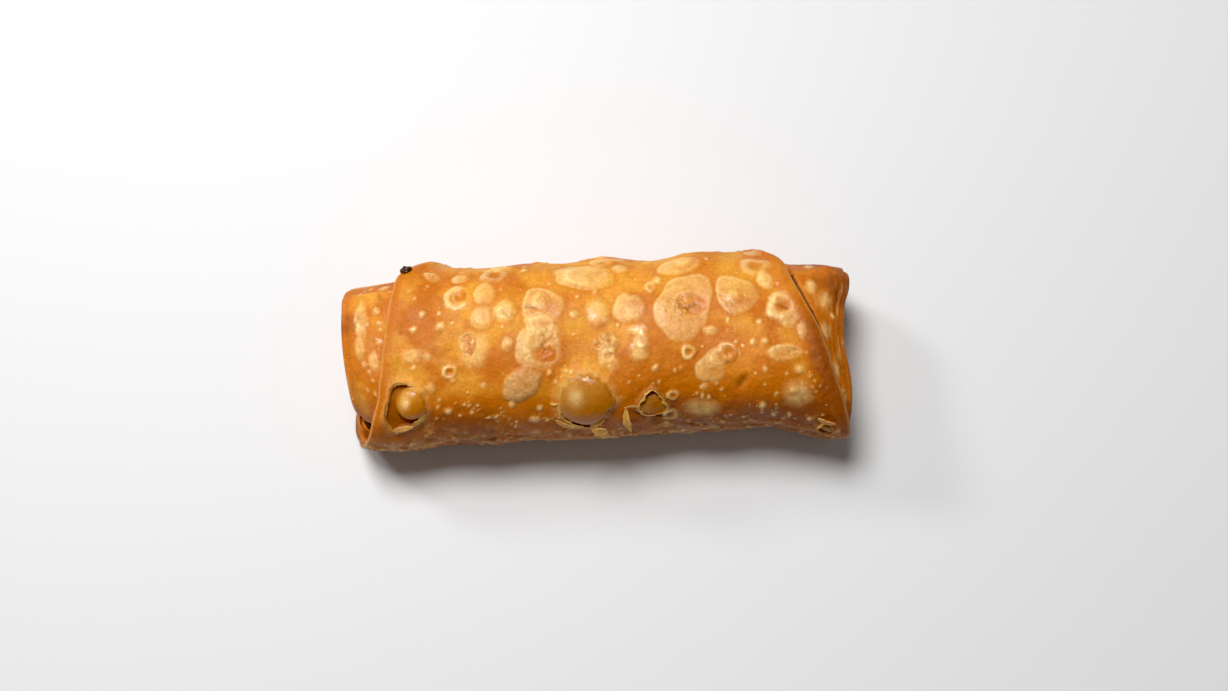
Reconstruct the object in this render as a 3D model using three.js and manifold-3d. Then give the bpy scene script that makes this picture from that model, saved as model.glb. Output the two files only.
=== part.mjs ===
// A fried spring roll: a square of dough rolled round a filling, its two sides folded in, its last
// corner wrapped over the front, the top and the back as one blistered outer layer.
// Millimetres, +Z up. X runs along the roll and -Y is its front. The origin lies under its middle.
import * as THREE from "three";
import { mergeVertices } from "three/addons/utils/BufferGeometryUtils.js";
import Module from "manifold-3d";

const wasm = await Module();
wasm.setup();

const { degToRad, lerp, smoothstep } = THREE.MathUtils;

// Driving dimensions.
const HALF_LENGTH = 75;
const MID_HEIGHT = 20; // the height at which the roll is widest
const SHEET = 1.9; // thickness of the fried outer layer
const LAYER = 1.6; // how far the inner roll's skin lies under the outer one
const FILLING_DEPTH = 4.6; // from the inner roll's skin to the filling
const FILLING_SHORTER = 7; // how far the filling's ends lie inside the roll's
const GAP = 0.3; // clearance round the filling
const FOLD_RADIUS = 2.2; // of the rounded fold round each end
const FILLING_FOLD_RADIUS = 4;
const TOP_POWER = 2.25; // squareness of the section above and below its middle
const FLOOR_POWER = 2.6;

// The outer layer's outline: [x, distance from the axis or height]. What lies below 0 is pressed flat.
const WRAP = {
  front: [
    [-76, 30.3], [-58, 29.8], [-42, 28.1], [-26, 28.8], [-10, 26.8],
    [16, 25.1], [31, 24.3], [50, 23.9], [62, 25.2], [76, 26.2],
  ],
  back: [
    [-76, 24.5], [-51, 25], [-42, 22.9], [-24, 25.7], [-10, 25.4], [2, 26.6],
    [16, 26.2], [31, 28.2], [46, 29.6], [58, 28.2], [76, 25],
  ],
  top: [[-76, 38.5], [-62, 41], [-45, 42.5], [10, 43.4], [40, 43.5], [60, 42], [76, 39]],
  bottom: [[-76, 1.2], [-66, -0.8], [66, -0.8], [76, 1.2]],
};

// How much further in the inner roll's skin lies towards its ends.
const TUCK = {
  front: [[-76, 9], [-70, 5.5], [-64, 2.2], [-56, 0], [60, 0], [76, 0.6]],
  back: [[-76, 5.2], [-66, 4.6], [-58, 3.6], [-48, 1], [-40, 0], [44, 0], [55, 1], [67, 0.3], [76, 2.4]],
  top: [[-76, 3.4], [-70, 1.2], [-62, 0.2], [-50, 0], [56, 0], [66, 0.6], [76, 3.4]],
  bottom: [[-76, 4], [-68, 1], [-60, 0], [60, 0], [68, 1], [76, 4]],
};

// Where each end lies, from the middle, at [y].
const LEFT_END = [[-25, 70.2], [-15, 72.2], [0, 74.3], [18, 75.4]];
const RIGHT_END = [[-24, 75.3], [-14, 75.3], [-8, 74.6], [0, 73.2], [11, 73.5], [17, 75.2], [25, 75.8]];

// The outer layer's two edges: [angle round the roll, x]. 0 is the front, 90 the top, 180 the back.
const WRAP_FROM = -95;
const WRAP_RISEN = -65; // by here it has come out from under the layer before
const WRAP_TO = 260;
const LEFT_EDGE = [
  [-95, -62], [-70, -71], [-45, -72.5], [-25, -70.5], [0, -68], [25, -65.2], [60, -62], [90, -60],
  [120, -58.4], [135, -57.4], [150, -54], [165, -50.4], [185, -45], [235, -22], [252, -9], [260, -1.5],
];
const RIGHT_EDGE = [
  [-95, 62], [-70, 72], [-45, 73], [0, 74.3], [25, 73.6], [60, 70.3], [90, 66.4],
  [110, 61.8], [130, 57.5], [150, 54.8], [165, 50.9], [185, 45.5], [235, 22], [252, 9], [260, 1.5],
];

// The thickened hem along both edges: its height, its distance from the edge and its half width.
const HEM = { rise: 0.6, inset: 2.2, width: 2 };

// Broad lumps of filling under the skin, as waves along the roll and round it.
const LUMPS = [
  { height: 0.5, along: 0.095, round: 2, phase: 0.6 },
  { height: 0.4, along: 0.16, round: -2, phase: 2.1 },
  { height: 0.3, along: 0.27, round: 3, phase: 4 },
];

// The larger blisters: [x, y as seen from above, radius, girth to length].
// Flat ones are low plateaux, domes are closed bubbles, rings have sunk middles, and burst ones are pits.
const BLISTERS = {
  flat: [
    [-33.6, 17, 3, 1], [-27.6, 10.7, 3.6, 1], [-16, 10.7, 5.5, 1.15], [-16.3, 1.5, 7, 0.9],
    [-33.9, -1.2, 3.6, 1.3], [3.4, 3, 4.3, 0.9], [13.6, 5.4, 3.2, 0.8], [26.1, 11.3, 9.5, 0.95],
    [24.6, 24.8, 6, 1], [4.9, 24.5, 5, 1], [41, 15.2, 6.2, 1.1], [34.2, -6.6, 4.4, 1], [57, -1, 4.2, 0.6],
  ],
  dome: [
    [-0.7, 11.3, 4.6, 1.1], [-22.2, -11.3, 6, 0.8], [12.1, -1.2, 3.2, 1],
    [60.1, -14.3, 4.8, 1], [31.8, -16.7, 6, 0.7],
  ],
  ring: [
    [-41.9, 14.9, 4.2, 1], [-30.3, 21.5, 4.8, 1], [9.7, 12.5, 4.2, 1], [48.2, 24.2, 4.5, 1],
    [56, 11.9, 4.8, 0.9], [39.3, -0.6, 3, 1],
  ],
  burst: [
    [-38.1, 0.9, 3.9, 1.3], [-54.8, -16.4, 5, 1], [-2.2, -14.9, 8, 0.95], [26.4, 12.8, 5.5, 0.9],
    [16.3, -16.1, 5, 0.9],
  ],
};
const FLAT_RISE = 0.6;
const DOME_RISE = 1.5;
const RING_RISE = 0.8;
const BURST_DEPTH = 1.1;
const BLISTERED_TO = 198; // the angle up to which a blister can reach
const SEEN_FROM = 10; // the blisters are placed as seen from this many degrees in front of the top

// The filling shows in the pocket under the front left corner, and in a crease of the right end.
const POCKET_FILLING = { at: [-67, -21, 15], radii: [5, 5, 4.5] };
const END_FILLING = { at: [68, -9.3, 23], radii: [7.8, 2, 2.6] };

const SWIRL_TURNS = 2.2; // layers of dough across each end face
const SWIRL_DEPTH = 1.1;
const END_DISH = 1.6; // how far the middle of each end face is sunk

// Grid sizes.
const WRAP_ROWS = 50;
const WRAP_COLUMNS = 54;
const RIM_STEPS = 3;
const INNER_RINGS = 34;
const INNER_COLUMNS = 40;
const RING_CROWDING = 0.65; // under 1, the rings crowd towards the ends, which show
const FOLD_RINGS = 3;
const FACE_RINGS = 7;
const FILLING_RINGS = 12;
const FILLING_COLUMNS = 16;
const BALL_SIDES = 12;

// A smooth curve through [position, value] stations, level past its ends.
function through(stations, at) {
  const last = stations.length - 1;
  if (at <= stations[0][0]) return stations[0][1];
  if (at >= stations[last][0]) return stations[last][1];
  const i = stations.findIndex((station) => station[0] > at) - 1;
  const slope = (k) => {
    const [before, after] = [stations[Math.max(k - 1, 0)], stations[Math.min(k + 1, last)]];
    return (after[1] - before[1]) / (after[0] - before[0]);
  };
  const [[x0, y0], [x1, y1]] = [stations[i], stations[i + 1]];
  const width = x1 - x0;
  const t = (at - x0) / width;
  const rise = (3 - 2 * t) * t * t;
  return lerp(y0, y1, rise) + width * t * (1 - t) * ((1 - t) * slope(i) - t * slope(i + 1));
}

const wrapOutline = (x) => ({
  front: through(WRAP.front, x),
  back: through(WRAP.back, x),
  top: through(WRAP.top, x),
  bottom: through(WRAP.bottom, x),
});

const innerOutline = (x) => {
  const wrap = wrapOutline(x);
  return {
    front: wrap.front - LAYER - through(TUCK.front, x),
    back: wrap.back - LAYER - through(TUCK.back, x),
    top: wrap.top - LAYER - through(TUCK.top, x),
    bottom: wrap.bottom + through(TUCK.bottom, x),
  };
};

// The section's point at an angle: a rounded oval, squarer underneath.
function sectionPoint(outline, angle) {
  const c = Math.cos(degToRad(angle));
  const s = Math.sin(degToRad(angle));
  const power = 2 / (s > 0 ? TOP_POWER : FLOOR_POWER);
  const across = c > 0 ? -outline.front : outline.back;
  const rise = s > 0 ? outline.top - MID_HEIGHT : outline.bottom - MID_HEIGHT;
  return [across * Math.abs(c) ** power, MID_HEIGHT + rise * Math.abs(s) ** power];
}

// The same point moved outwards, and kept above the floor.
function skinPoint(outline, angle, out) {
  const [y, z] = sectionPoint(outline, angle);
  const [y0, z0] = sectionPoint(outline, angle - 0.5);
  const [y1, z1] = sectionPoint(outline, angle + 0.5);
  const size = Math.hypot(y1 - y0, z1 - z0);
  return [y - ((z1 - z0) / size) * out, Math.max(z + ((y1 - y0) / size) * out, 0)];
}

// Length along the girth, from the front, by angle.
const MIDDLE_OUTLINE = wrapOutline(0);
function girth(angle, step = 3) {
  let length = 0;
  let [y, z] = sectionPoint(MIDDLE_OUTLINE, 0);
  for (let a = step; a <= angle; a += step) {
    const [yNext, zNext] = sectionPoint(MIDDLE_OUTLINE, a);
    length += Math.hypot(yNext - y, zNext - z);
    [y, z] = [yNext, zNext];
  }
  return length;
}
const GIRTHS = Array.from({ length: 67 }, (_, k) => [k * 3, girth(k * 3)]);

// The angle round the roll at which a point seen across the roll at y lies.
function angleSeenAt(x, y) {
  const outline = wrapOutline(x);
  const tilt = degToRad(SEEN_FROM);
  let [low, high] = [0, 180];
  while (high - low > 0.1) {
    const middle = (low + high) / 2;
    const [py, pz] = sectionPoint(outline, middle);
    const seen = py * Math.cos(tilt) + (pz - MID_HEIGHT) * Math.sin(tilt);
    if (seen < y) low = middle;
    else high = middle;
  }
  return low;
}

// How each kind of blister rises, by distance from its middle over its radius.
const PROFILES = {
  flat: (q) => FLAT_RISE * (1 - smoothstep(q, 0.7, 1.05)),
  dome: (q) => DOME_RISE * Math.sqrt(Math.max(0, 1 - q * q)),
  ring: (q) => RING_RISE * (smoothstep(q, 0.1, 0.6) - smoothstep(q, 0.75, 1.1)),
  burst: (q) => -BURST_DEPTH * (1 - smoothstep(q, 0.5, 0.85)) + FLAT_RISE * Math.exp(-(((q - 1) / 0.2) ** 2)),
};
const PLACED = Object.entries(BLISTERS).flatMap(([kind, list]) =>
  list.map(([x, y, radius, ratio]) => ({
    kind,
    x,
    along: through(GIRTHS, angleSeenAt(x, y)),
    radius,
    ratio,
  })),
);

function blisterRelief(x, angle) {
  if (angle < 0 || angle > BLISTERED_TO) return 0;
  const along = through(GIRTHS, angle);
  let relief = 0;
  for (const b of PLACED) {
    const q = Math.hypot(x - b.x, (along - b.along) / b.ratio) / b.radius;
    if (q < 1.5) relief += PROFILES[b.kind](q);
  }
  return relief;
}

// The lumps fade out underneath.
function lumps(x, angle) {
  const a = degToRad(angle);
  const wave = ({ height, along, round, phase }) => height * Math.sin(along * x + round * a + phase);
  return smoothstep(Math.sin(a), -0.9, -0.2) * LUMPS.reduce((sum, lump) => sum + wave(lump), 0);
}

// Joins a grid of points, closed round its columns, into a solid. Its first and last rows are closed by
// a middle point each, or by strips across when the row is a thin sheet's outline.
function solidOfGrid(rows, thin = false) {
  const columns = rows[0].length;
  const points = rows.flat();
  const faces = [];
  const at = (r, c) => r * columns + (c % columns);
  for (let r = 0; r + 1 < rows.length; r++)
    for (let c = 0; c < columns; c++) {
      faces.push([at(r, c), at(r, c + 1), at(r + 1, c + 1)]);
      faces.push([at(r, c), at(r + 1, c + 1), at(r + 1, c)]);
    }
  for (const [r, flip] of [[0, true], [rows.length - 1, false]]) {
    const close = (a, b, c) => faces.push(flip ? [a, c, b] : [a, b, c]);
    if (thin) {
      for (let c = 0; c + 1 < columns / 2; c++) {
        const [near, far] = [columns - 1 - c, columns - 2 - c];
        close(at(r, c), at(r, c + 1), at(r, far));
        if (c + 1 < far) close(at(r, c), at(r, far), at(r, near));
      }
    } else {
      const middle = rows[r].reduce((sum, p) => sum.map((v, k) => v + p[k] / columns), [0, 0, 0]);
      points.push(middle);
      for (let c = 0; c < columns; c++) close(at(r, c), at(r, c + 1), points.length - 1);
    }
  }
  return new wasm.Manifold(
    new wasm.Mesh({
      numProp: 3,
      vertProperties: new Float32Array(points.flat()),
      triVerts: new Uint32Array(faces.filter(([a, b, c]) => a !== b && b !== c && a !== c).flat()),
    }),
  );
}

// The outer layer: a thick sheet from one edge to the other, wound from under the roll to its tip.
function outerLayer() {
  const rows = [];
  for (let r = 0; r <= WRAP_ROWS; r++) {
    const angle = lerp(WRAP_FROM, WRAP_TO, r / WRAP_ROWS);
    const [left, right] = [through(LEFT_EDGE, angle), through(RIGHT_EDGE, angle)];
    const sunk = -SHEET * (1 - smoothstep(angle, WRAP_FROM, WRAP_RISEN));
    const point = (x, out) => [x, ...skinPoint(wrapOutline(x), angle, out + sunk)];
    const hem = (x) => {
      const inside = Math.min(x - left, right - x);
      return HEM.rise * Math.exp(-(((inside - HEM.inset) / HEM.width) ** 2));
    };
    const relief = (x) => lumps(x, angle) + blisterRelief(x, angle) + hem(x);
    const across = Array.from({ length: WRAP_COLUMNS + 1 }, (_, c) => lerp(left, right, c / WRAP_COLUMNS));
    const rim = (x, side) =>
      Array.from({ length: RIM_STEPS - 1 }, (_, k) => {
        const turn = (Math.PI * (side > 0 ? k + 1 : RIM_STEPS - 1 - k)) / RIM_STEPS;
        return point(x + (side * Math.sin(turn) * SHEET) / 2, relief(x) - (SHEET / 2) * (1 - Math.cos(turn)));
      });
    rows.push([
      ...across.map((x) => point(x, relief(x))),
      ...rim(right, 1),
      ...across.reverse().map((x) => point(x, lumps(x, angle) - SHEET)),
      ...rim(left, -1),
    ]);
  }
  return solidOfGrid(rows, true);
}

// The inner roll or its filling: rings along X, closed at each end by a rounded fold and a face that
// shows the rolled layers as a swirl.
function innerRoll({ inset, reach, fold, rings, columns, swirlDepth }) {
  // depth is how far a ring lies inside the end, shrink how far inside the skin, and share, from 0 to 1,
  // how far across the end face to its middle.
  const ring = (x, end, { depth = 0, shrink = 0, share = 0 }) => {
    const outline = innerOutline(x);
    const middle = [(outline.back - outline.front) / 2, (outline.top + outline.bottom) / 2];
    return Array.from({ length: columns }, (_, c) => {
      const angle = (360 * c) / columns;
      const skin = skinPoint(outline, angle, lumps(x, angle) - shrink - inset);
      const [y, z] = [lerp(skin[0], middle[0], share), lerp(skin[1], middle[1], share)];
      const endAt = end < 0 ? -through(LEFT_END, y) : through(RIGHT_END, y);
      const skew = (endAt - end * HALF_LENGTH) * smoothstep(Math.abs(x) / HALF_LENGTH, 0.75, 1);
      const layer = share * SWIRL_TURNS + end * (angle / 360);
      const crease = share > 0 ? swirlDepth * Math.cos(Math.PI * layer) ** 2 : 0;
      return [x + skew - end * (depth + crease + END_DISH * share), y, z];
    });
  };
  const cap = (end) => {
    const list = [];
    for (let k = 1; k <= FOLD_RINGS; k++) {
      const turn = (Math.PI / 2) * (k / FOLD_RINGS);
      const [depth, shrink] = [fold * (1 - Math.sin(turn)), fold * (1 - Math.cos(turn))];
      list.push(ring(end * reach, end, { depth, shrink }));
    }
    for (let k = 1; k < FACE_RINGS; k++)
      list.push(ring(end * reach, end, { shrink: fold, share: k / FACE_RINGS }));
    return list;
  };
  const rows = cap(-1).reverse();
  for (let k = 0; k <= rings; k++) {
    const share = (2 * k) / rings - 1;
    const x = (reach - fold) * Math.sign(share) * Math.abs(share) ** RING_CROWDING;
    rows.push(ring(x, Math.sign(x) || 1, {}));
  }
  rows.push(...cap(1));
  return solidOfGrid(rows.reverse());
}

function ellipsoid({ at, radii }, grow) {
  const ball = new THREE.SphereGeometry(1, BALL_SIDES, BALL_SIDES / 2);
  ball.scale(...radii.map((radius) => radius + grow)).translate(...at);
  ball.deleteAttribute("normal");
  ball.deleteAttribute("uv");
  const merged = mergeVertices(ball, 1e-4);
  return new wasm.Manifold(
    new wasm.Mesh({
      numProp: 3,
      vertProperties: merged.getAttribute("position").array,
      triVerts: new Uint32Array(merged.index.array),
    }),
  );
}

function fillingSolid(grow) {
  const core = innerRoll({
    inset: FILLING_DEPTH - grow,
    reach: HALF_LENGTH - FILLING_SHORTER + grow,
    fold: FILLING_FOLD_RADIUS,
    rings: FILLING_RINGS,
    columns: FILLING_COLUMNS,
    swirlDepth: 0,
  });
  return core.add(ellipsoid(POCKET_FILLING, grow)).add(ellipsoid(END_FILLING, grow));
}

// Fusing can seal small hollows and cut off scraps: only the one large body is kept.
const largestBody = (solid) =>
  solid.decompose().reduce((best, body) => (body.volume() > best.volume() ? body : best));

function wrapperSolid() {
  const inner = innerRoll({
    inset: 0,
    reach: HALF_LENGTH,
    fold: FOLD_RADIUS,
    rings: INNER_RINGS,
    columns: INNER_COLUMNS,
    swirlDepth: SWIRL_DEPTH,
  });
  return largestBody(inner.add(outerLayer()).subtract(fillingSolid(GAP)));
}

function meshOfSolid(solid, name, material) {
  const made = solid.getMesh();
  const geometry = new THREE.BufferGeometry();
  geometry.setAttribute("position", new THREE.BufferAttribute(new Float32Array(made.vertProperties), 3));
  geometry.setIndex(new THREE.BufferAttribute(new Uint32Array(made.triVerts), 1));
  geometry.computeVertexNormals();
  const mesh = new THREE.Mesh(geometry, material);
  mesh.name = name;
  return mesh;
}

const wrapperMaterial = new THREE.MeshStandardMaterial({ color: 0xdc9645, roughness: 0.45, metalness: 0 });
const fillingMaterial = new THREE.MeshStandardMaterial({ color: 0x4a2a16, roughness: 0.7, metalness: 0 });

const roll = new THREE.Group();
roll.add(meshOfSolid(wrapperSolid(), "wrapper", wrapperMaterial));
roll.add(meshOfSolid(fillingSolid(0), "filling", fillingMaterial));

export default roll;
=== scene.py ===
"""The looks of a fried spring roll, built round its solids.

Shapes are worked out in millimetres, +Z up, X along the roll and -Y its front, and turned to metres
when a mesh is made. A place on the roll is (x, girth, out): along the roll, round it from the middle
of its front, and outwards from its skin.
"""
import itertools
import math
from dataclasses import dataclass

import bpy
import numpy as np
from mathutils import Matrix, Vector


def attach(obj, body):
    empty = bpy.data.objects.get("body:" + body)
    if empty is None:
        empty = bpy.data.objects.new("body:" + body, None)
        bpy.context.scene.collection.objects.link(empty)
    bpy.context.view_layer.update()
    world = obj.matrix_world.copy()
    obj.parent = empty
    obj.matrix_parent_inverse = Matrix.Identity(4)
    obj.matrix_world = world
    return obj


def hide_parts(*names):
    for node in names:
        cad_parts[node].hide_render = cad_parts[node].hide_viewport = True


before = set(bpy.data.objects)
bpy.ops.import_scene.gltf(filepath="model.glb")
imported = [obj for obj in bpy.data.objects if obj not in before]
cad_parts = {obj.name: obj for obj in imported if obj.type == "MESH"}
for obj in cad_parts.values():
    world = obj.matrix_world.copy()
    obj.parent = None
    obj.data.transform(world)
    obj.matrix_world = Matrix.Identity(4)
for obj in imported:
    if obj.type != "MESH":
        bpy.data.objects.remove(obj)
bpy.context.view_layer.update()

MM = 0.001
SEED = 7

# The view: azimuth 0, looking down steeply from the front.
ELEVATION = 82  # degrees above the horizon
DISTANCE = 620  # mm from the aim point
AIM = (5.5, 0.75, 21)
WIDTH_SEEN = 366.6  # mm that the picture's width spans at the aim point
SENSOR = 36  # mm
BLACK_LEVEL = 0.01  # as much light as this shows as black

# The light, in metres and watts.
LIGHTS = {
    "key": {"place": (-0.22, 0.42, 1.2), "size": 0.5, "power": 14.4, "colour": (1, 0.99, 0.98)},
    "window": {"place": (-0.75, 0.55, 0.75), "size": 0.24, "power": 3.4, "colour": (1, 0.99, 0.98)},
    "fill": {"place": (0.3, -0.3, 1.2), "size": 0.8, "power": 0.4, "colour": (1, 0.96, 0.92)},
}
LIGHT_AIM = (0, 0, 0.02)
WORLD = {"colour": (1, 0.94, 0.88), "strength": 0.12}
FLOOR_HALF = 3
FLOOR_COLOURS = ((224, 226, 228), (229, 231, 233))

# The form, as in the solids.
HALF_LENGTH = 75
MID_HEIGHT = 20  # the height at which the roll is widest
SHEET = 1.9  # thickness of the fried outer layer
LAYER = 1.6  # how far the inner roll's skin lies under the outer one
FILLING_DEPTH = 4.6
FILLING_SHORTER = 7
FOLD_RADIUS = 2.2
FILLING_FOLD_RADIUS = 4
TOP_POWER = 2.25  # squareness of the section above and below its middle
FLOOR_POWER = 2.6

# The outer layer's outline: (x, distance from the axis or height). What lies below 0 is pressed flat.
WRAP = {
    "front": [
        (-76, 30.3), (-58, 29.8), (-42, 28.1), (-26, 28.8), (-10, 26.8),
        (16, 25.1), (31, 24.3), (50, 23.9), (62, 25.2), (76, 26.2),
    ],
    "back": [
        (-76, 24.5), (-51, 25), (-42, 22.9), (-24, 25.7), (-10, 25.4), (2, 26.6),
        (16, 26.2), (31, 28.2), (46, 29.6), (58, 28.2), (76, 25),
    ],
    "top": [(-76, 38.5), (-62, 41), (-45, 42.5), (10, 43.4), (40, 43.5), (60, 42), (76, 39)],
    "bottom": [(-76, 1.2), (-66, -0.8), (66, -0.8), (76, 1.2)],
}
# How much further in the inner roll's skin lies towards its ends.
TUCK = {
    "front": [(-76, 9), (-70, 5.5), (-64, 2.2), (-56, 0), (60, 0), (76, 0.6)],
    "back": [
        (-76, 5.2), (-66, 4.6), (-58, 3.6), (-48, 1), (-40, 0), (44, 0), (55, 1), (67, 0.3), (76, 2.4),
    ],
    "top": [(-76, 3.4), (-70, 1.2), (-62, 0.2), (-50, 0), (56, 0), (66, 0.6), (76, 3.4)],
    "bottom": [(-76, 4), (-68, 1), (-60, 0), (60, 0), (68, 1), (76, 4)],
}
# Where each end lies, from the middle, by y.
LEFT_END = [(-25, 70.2), (-15, 72.2), (0, 74.3), (18, 75.4)]
RIGHT_END = [(-24, 75.3), (-14, 75.3), (-8, 74.6), (0, 73.2), (11, 73.5), (17, 75.2), (25, 75.8)]

# The outer layer's two edges: (angle round the roll, x). 0 is the front, 90 the top, 180 the back.
WRAP_FROM = -95
WRAP_RISEN = -65  # by here it has come out from under the layer before
WRAP_TO = 260
LEFT_EDGE = [
    (-95, -62), (-70, -71), (-45, -72.5), (-25, -70.5), (0, -68), (25, -65.2), (60, -62), (90, -60),
    (120, -58.4), (135, -57.4), (150, -54), (165, -50.4), (185, -45), (235, -22), (252, -9), (260, -1.5),
]
RIGHT_EDGE = [
    (-95, 62), (-70, 72), (-45, 73), (0, 74.3), (25, 73.6), (60, 70.3), (90, 65.4), (110, 60.2),
    (130, 56.1), (150, 54.2), (165, 50.9), (185, 45.5), (235, 22), (252, 9), (260, 1.5),
]
HEM = {"rise": 0.6, "inset": 2.2, "width": 2}
GAP_OFFSET = 2  # mm from the right edge to the middle of the dark gap beside it

# Broad lumps of filling under the skin: height, waves along the roll and round it, and phase.
LUMPS = [(0.5, 0.095, 2, 0.6), (0.4, 0.16, -2, 2.1), (0.3, 0.27, 3, 4)]

SWIRL_TURNS = 2.2
SWIRL_DEPTH = 1.1
END_DISH = 1.6

# The blisters that the picture shows on the outer layer, by kind, as seen in the view, in mm at the aim
# point: (right, up, radius) of the round ones and (right, up, half width, half height) of the others,
# for some with a tilt in degrees.
BLISTERS = {
    "flat": [
        (-32.6, 9.8, 3.4), (-38.5, 15.2, 3.1, 3), (-39.3, 8.8, 3, 3.3), (-21, 12, 5.9),
        (-21.8, 0.7, 6.9, 6.6), (-31.6, 0.2, 1.9, 2.2), (21.1, 12, 8.7, 9.6), (4.6, 11.4, 4.5, 4.3),
        (-9.4, 20.4, 8.1, 3.3), (19.1, 24.1, 6, 2.5), (44.9, 19.8, 2.4), (28.9, -6.7, 4.2),
        (51.1, -2.1, 5.1, 2.5), (56.2, 4.6, 1.5, 2.4), (-53.9, 20.2, 2.4, 1.2), (-45.9, 20, 2.2, 1.2),
        (-3.4, 25, 3.6, 1.5), (1.3, 22.8, 2.1, 1), (-0.2, -6, 1.8, 2.4), (29.1, 4.6, 2.1, 1.4),
        (52.7, 7.7, 3, 2.4), (5.9, 10, 2.7, 2.6), (-22.4, 13.4, 2.6, 2.2), (36.2, 15.4, 6.2, 6.4),
        (19, 15.4, 3.4, 2.6), (49, 14, 2.2, 1.6), (-21.4, 6.2, 5.2, 4.4), (31, -3.9, 3.6, 3.2),
        (-1.4, -2.8, 2.6, 3.6), (8.2, 1.2, 2.4, 3),
    ],
    "dome": [
        (-5.4, 10.4, 4.3, 4.6), (34.9, 15.5, 2.7), (7.3, -2.2, 3.3), (7.3, 4.4, 3.6, 2.4),
        (55.4, -7.5, 1.9), (54, -13, 2.2, 2), (-51.9, 6, 1.8), (-60.1, 4.6, 1.6), (-57.5, 9.4, 1.3),
        (-54.7, -12.6, 2.1), (-48.1, -10.2, 1.2), (-30.4, -17.6, 1.4), (-22.2, -18.4, 1.2),
        (-23.8, -21.9, 2.1, 1.3), (-5.6, 16.2, 1.2, 0.9), (45.3, 1, 1.4), (43.3, 7.3, 1.2),
        (45.1, -7.1, 1.2), (44.1, -17.7, 1.4), (13, 19.6, 1.8, 1.5), (-49.7, -19.6, 1.5, 1.3),
        (-19, -8.2, 1.2), (47.6, -20.4, 1), (52.1, -20.4, 0.9), (-51.9, 9.6, 0.9), (59.7, -10.6, 0.7),
        (58.5, -7.9, 0.5), (26.5, -14.6, 0.8, 1.5), (28.6, -15.3, 0.8, 1.2), (24.8, -14.2, 0.7),
    ],
    "ring": [
        (-47.3, 14.2, 4, 3.9), (-35.7, 20.8, 4.5, 2.4), (22.2, -2.1, 2.4), (33.6, -1.7, 3),
        (50.3, 12, 5.1, 4.2), (42.5, 23.3, 5.1, 2.7), (11, 17.6, 1.6), (-49.1, -7.8, 2.6, 2.2),
        (17.7, -14.8, 1.9, 1.6), (16.8, -20.4, 2.4, 1.8),
    ],
    "pool": [
        (23.4, 12.2, 4.6, 4.2), (-20.6, -2.8, 4.4, 3), (-43.6, 0.2, 2.5, 4.2), (-45.6, 14.8, 2, 2.2),
        (33.6, -1.7, 1.2), (-49.1, -7.8, 1.3, 1.2),
    ],
    "crater": [
        (53.4, -1.8, 1.8, 1.3), (-43.7, 0.4, 2.1, 3.7), (19.5, 11.6, 3, 2.7), (-2.2, 0.4, 3.9),
        (-21, 2.4, 2.4, 2.7),
    ],
    "rough": [(-27.6, -12.2, 6, 4.7, 25)],
    "patch": [
        (-60.5, -2.8, 3.3, 2.4), (-55.7, -3.4, 1.5, 1.3), (-41.7, -1.6, 4.9, 6), (55, -14.1, 4.8, 4.5),
        (26.9, -18.8, 6.5, 3),
    ],
    "dent": [(38.6, -11, 1.5, 3.3, -30)],
}
# The same on the two ends of the inner roll.
END_BLISTERS = {
    "flat": [(-71.9, -4.8, 1.8, 3), (-76.7, -1.2, 1.3, 3.3), (-75.8, 7.3, 2, 5), (61.5, 0.1, 1.5, 2.4)],
    "dome": [
        (-71.3, 10.4, 1.6), (-73.7, 6.6, 1), (-70.3, 6.8, 0.9), (-70.3, 1.4, 1.6, 1.5), (-74.3, -8, 0.9),
        (-72.7, -14.6, 1.2), (57.8, 23.3, 1.8, 1.3), (58.9, 17.4, 2.1, 2.4),
    ],
    "patch": [(63.9, 13.6, 2.7, 3), (64.5, 4.6, 2.4, 3), (66.3, -7.3, 1.8, 3)],
}

# Blisters whose shell broke open, as seen in the view: the middle, the torn rim round it, the bubble
# inside (its middle, radius and height), and how murky and how shiny that is. The shine also sets how
# strong the painted highlight on the bubble is.
BURSTS = [
    {
        "at": (-7.4, -16.0),
        "rim": [
            (-15.9, -15.6), (-14.4, -11.6), (-11.4, -8.8), (-9.0, -8.2), (-5.1, -9.1), (-2.7, -11.2),
            (-0.4, -14.0), (0.4, -16.4), (-1.0, -18.4), (-3.4, -20.4), (-5.4, -23.1), (-11.0, -23.6),
            (-13.9, -22.4),
        ],
        "bubble": (-7.8, -16.0, 9.3, 3.2),
        "murky": 0.3,
        "shine": 0.95,
    },
    {
        "at": (-61.8, -18.4),
        "rim": [
            (-65.9, -12.3), (-63.7, -11.0), (-61.9, -11.6), (-59.3, -12.7), (-56.0, -18.0), (-56.7, -21.0),
            (-59.3, -23.3), (-62.8, -24.3), (-65.4, -25.0), (-68.1, -22.4), (-67.2, -16.7),
        ],
        "bubble": (-59.8, -17.2, 5.2, 2.8),
        "murky": 0.0,
        "shine": 1.0,
    },
    {
        "at": (12.0, -17.2),
        "rim": [
            (7.2, -17.9), (8.7, -15.4), (11.1, -13.6), (11.6, -13.2), (13.2, -14.8), (15.1, -16.5),
            (15.7, -19.1), (12.9, -19.9), (8.4, -19.9),
        ],
        "bubble": (12.4, -19.4, 6.2, 0.5),
        "murky": 0.4,
        "shine": 0.6,
    },
    {
        "at": (63.5, -24.3),
        "rim": [(61.6, -23.4), (63.5, -22.8), (65.4, -23.9), (65.0, -25.6), (63.4, -26.2), (61.9, -25.4)],
        "bubble": (63.5, -24.6, 2.4, 0.3),
        "murky": 0.4,
        "shine": 0.6,
    },
]
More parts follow.
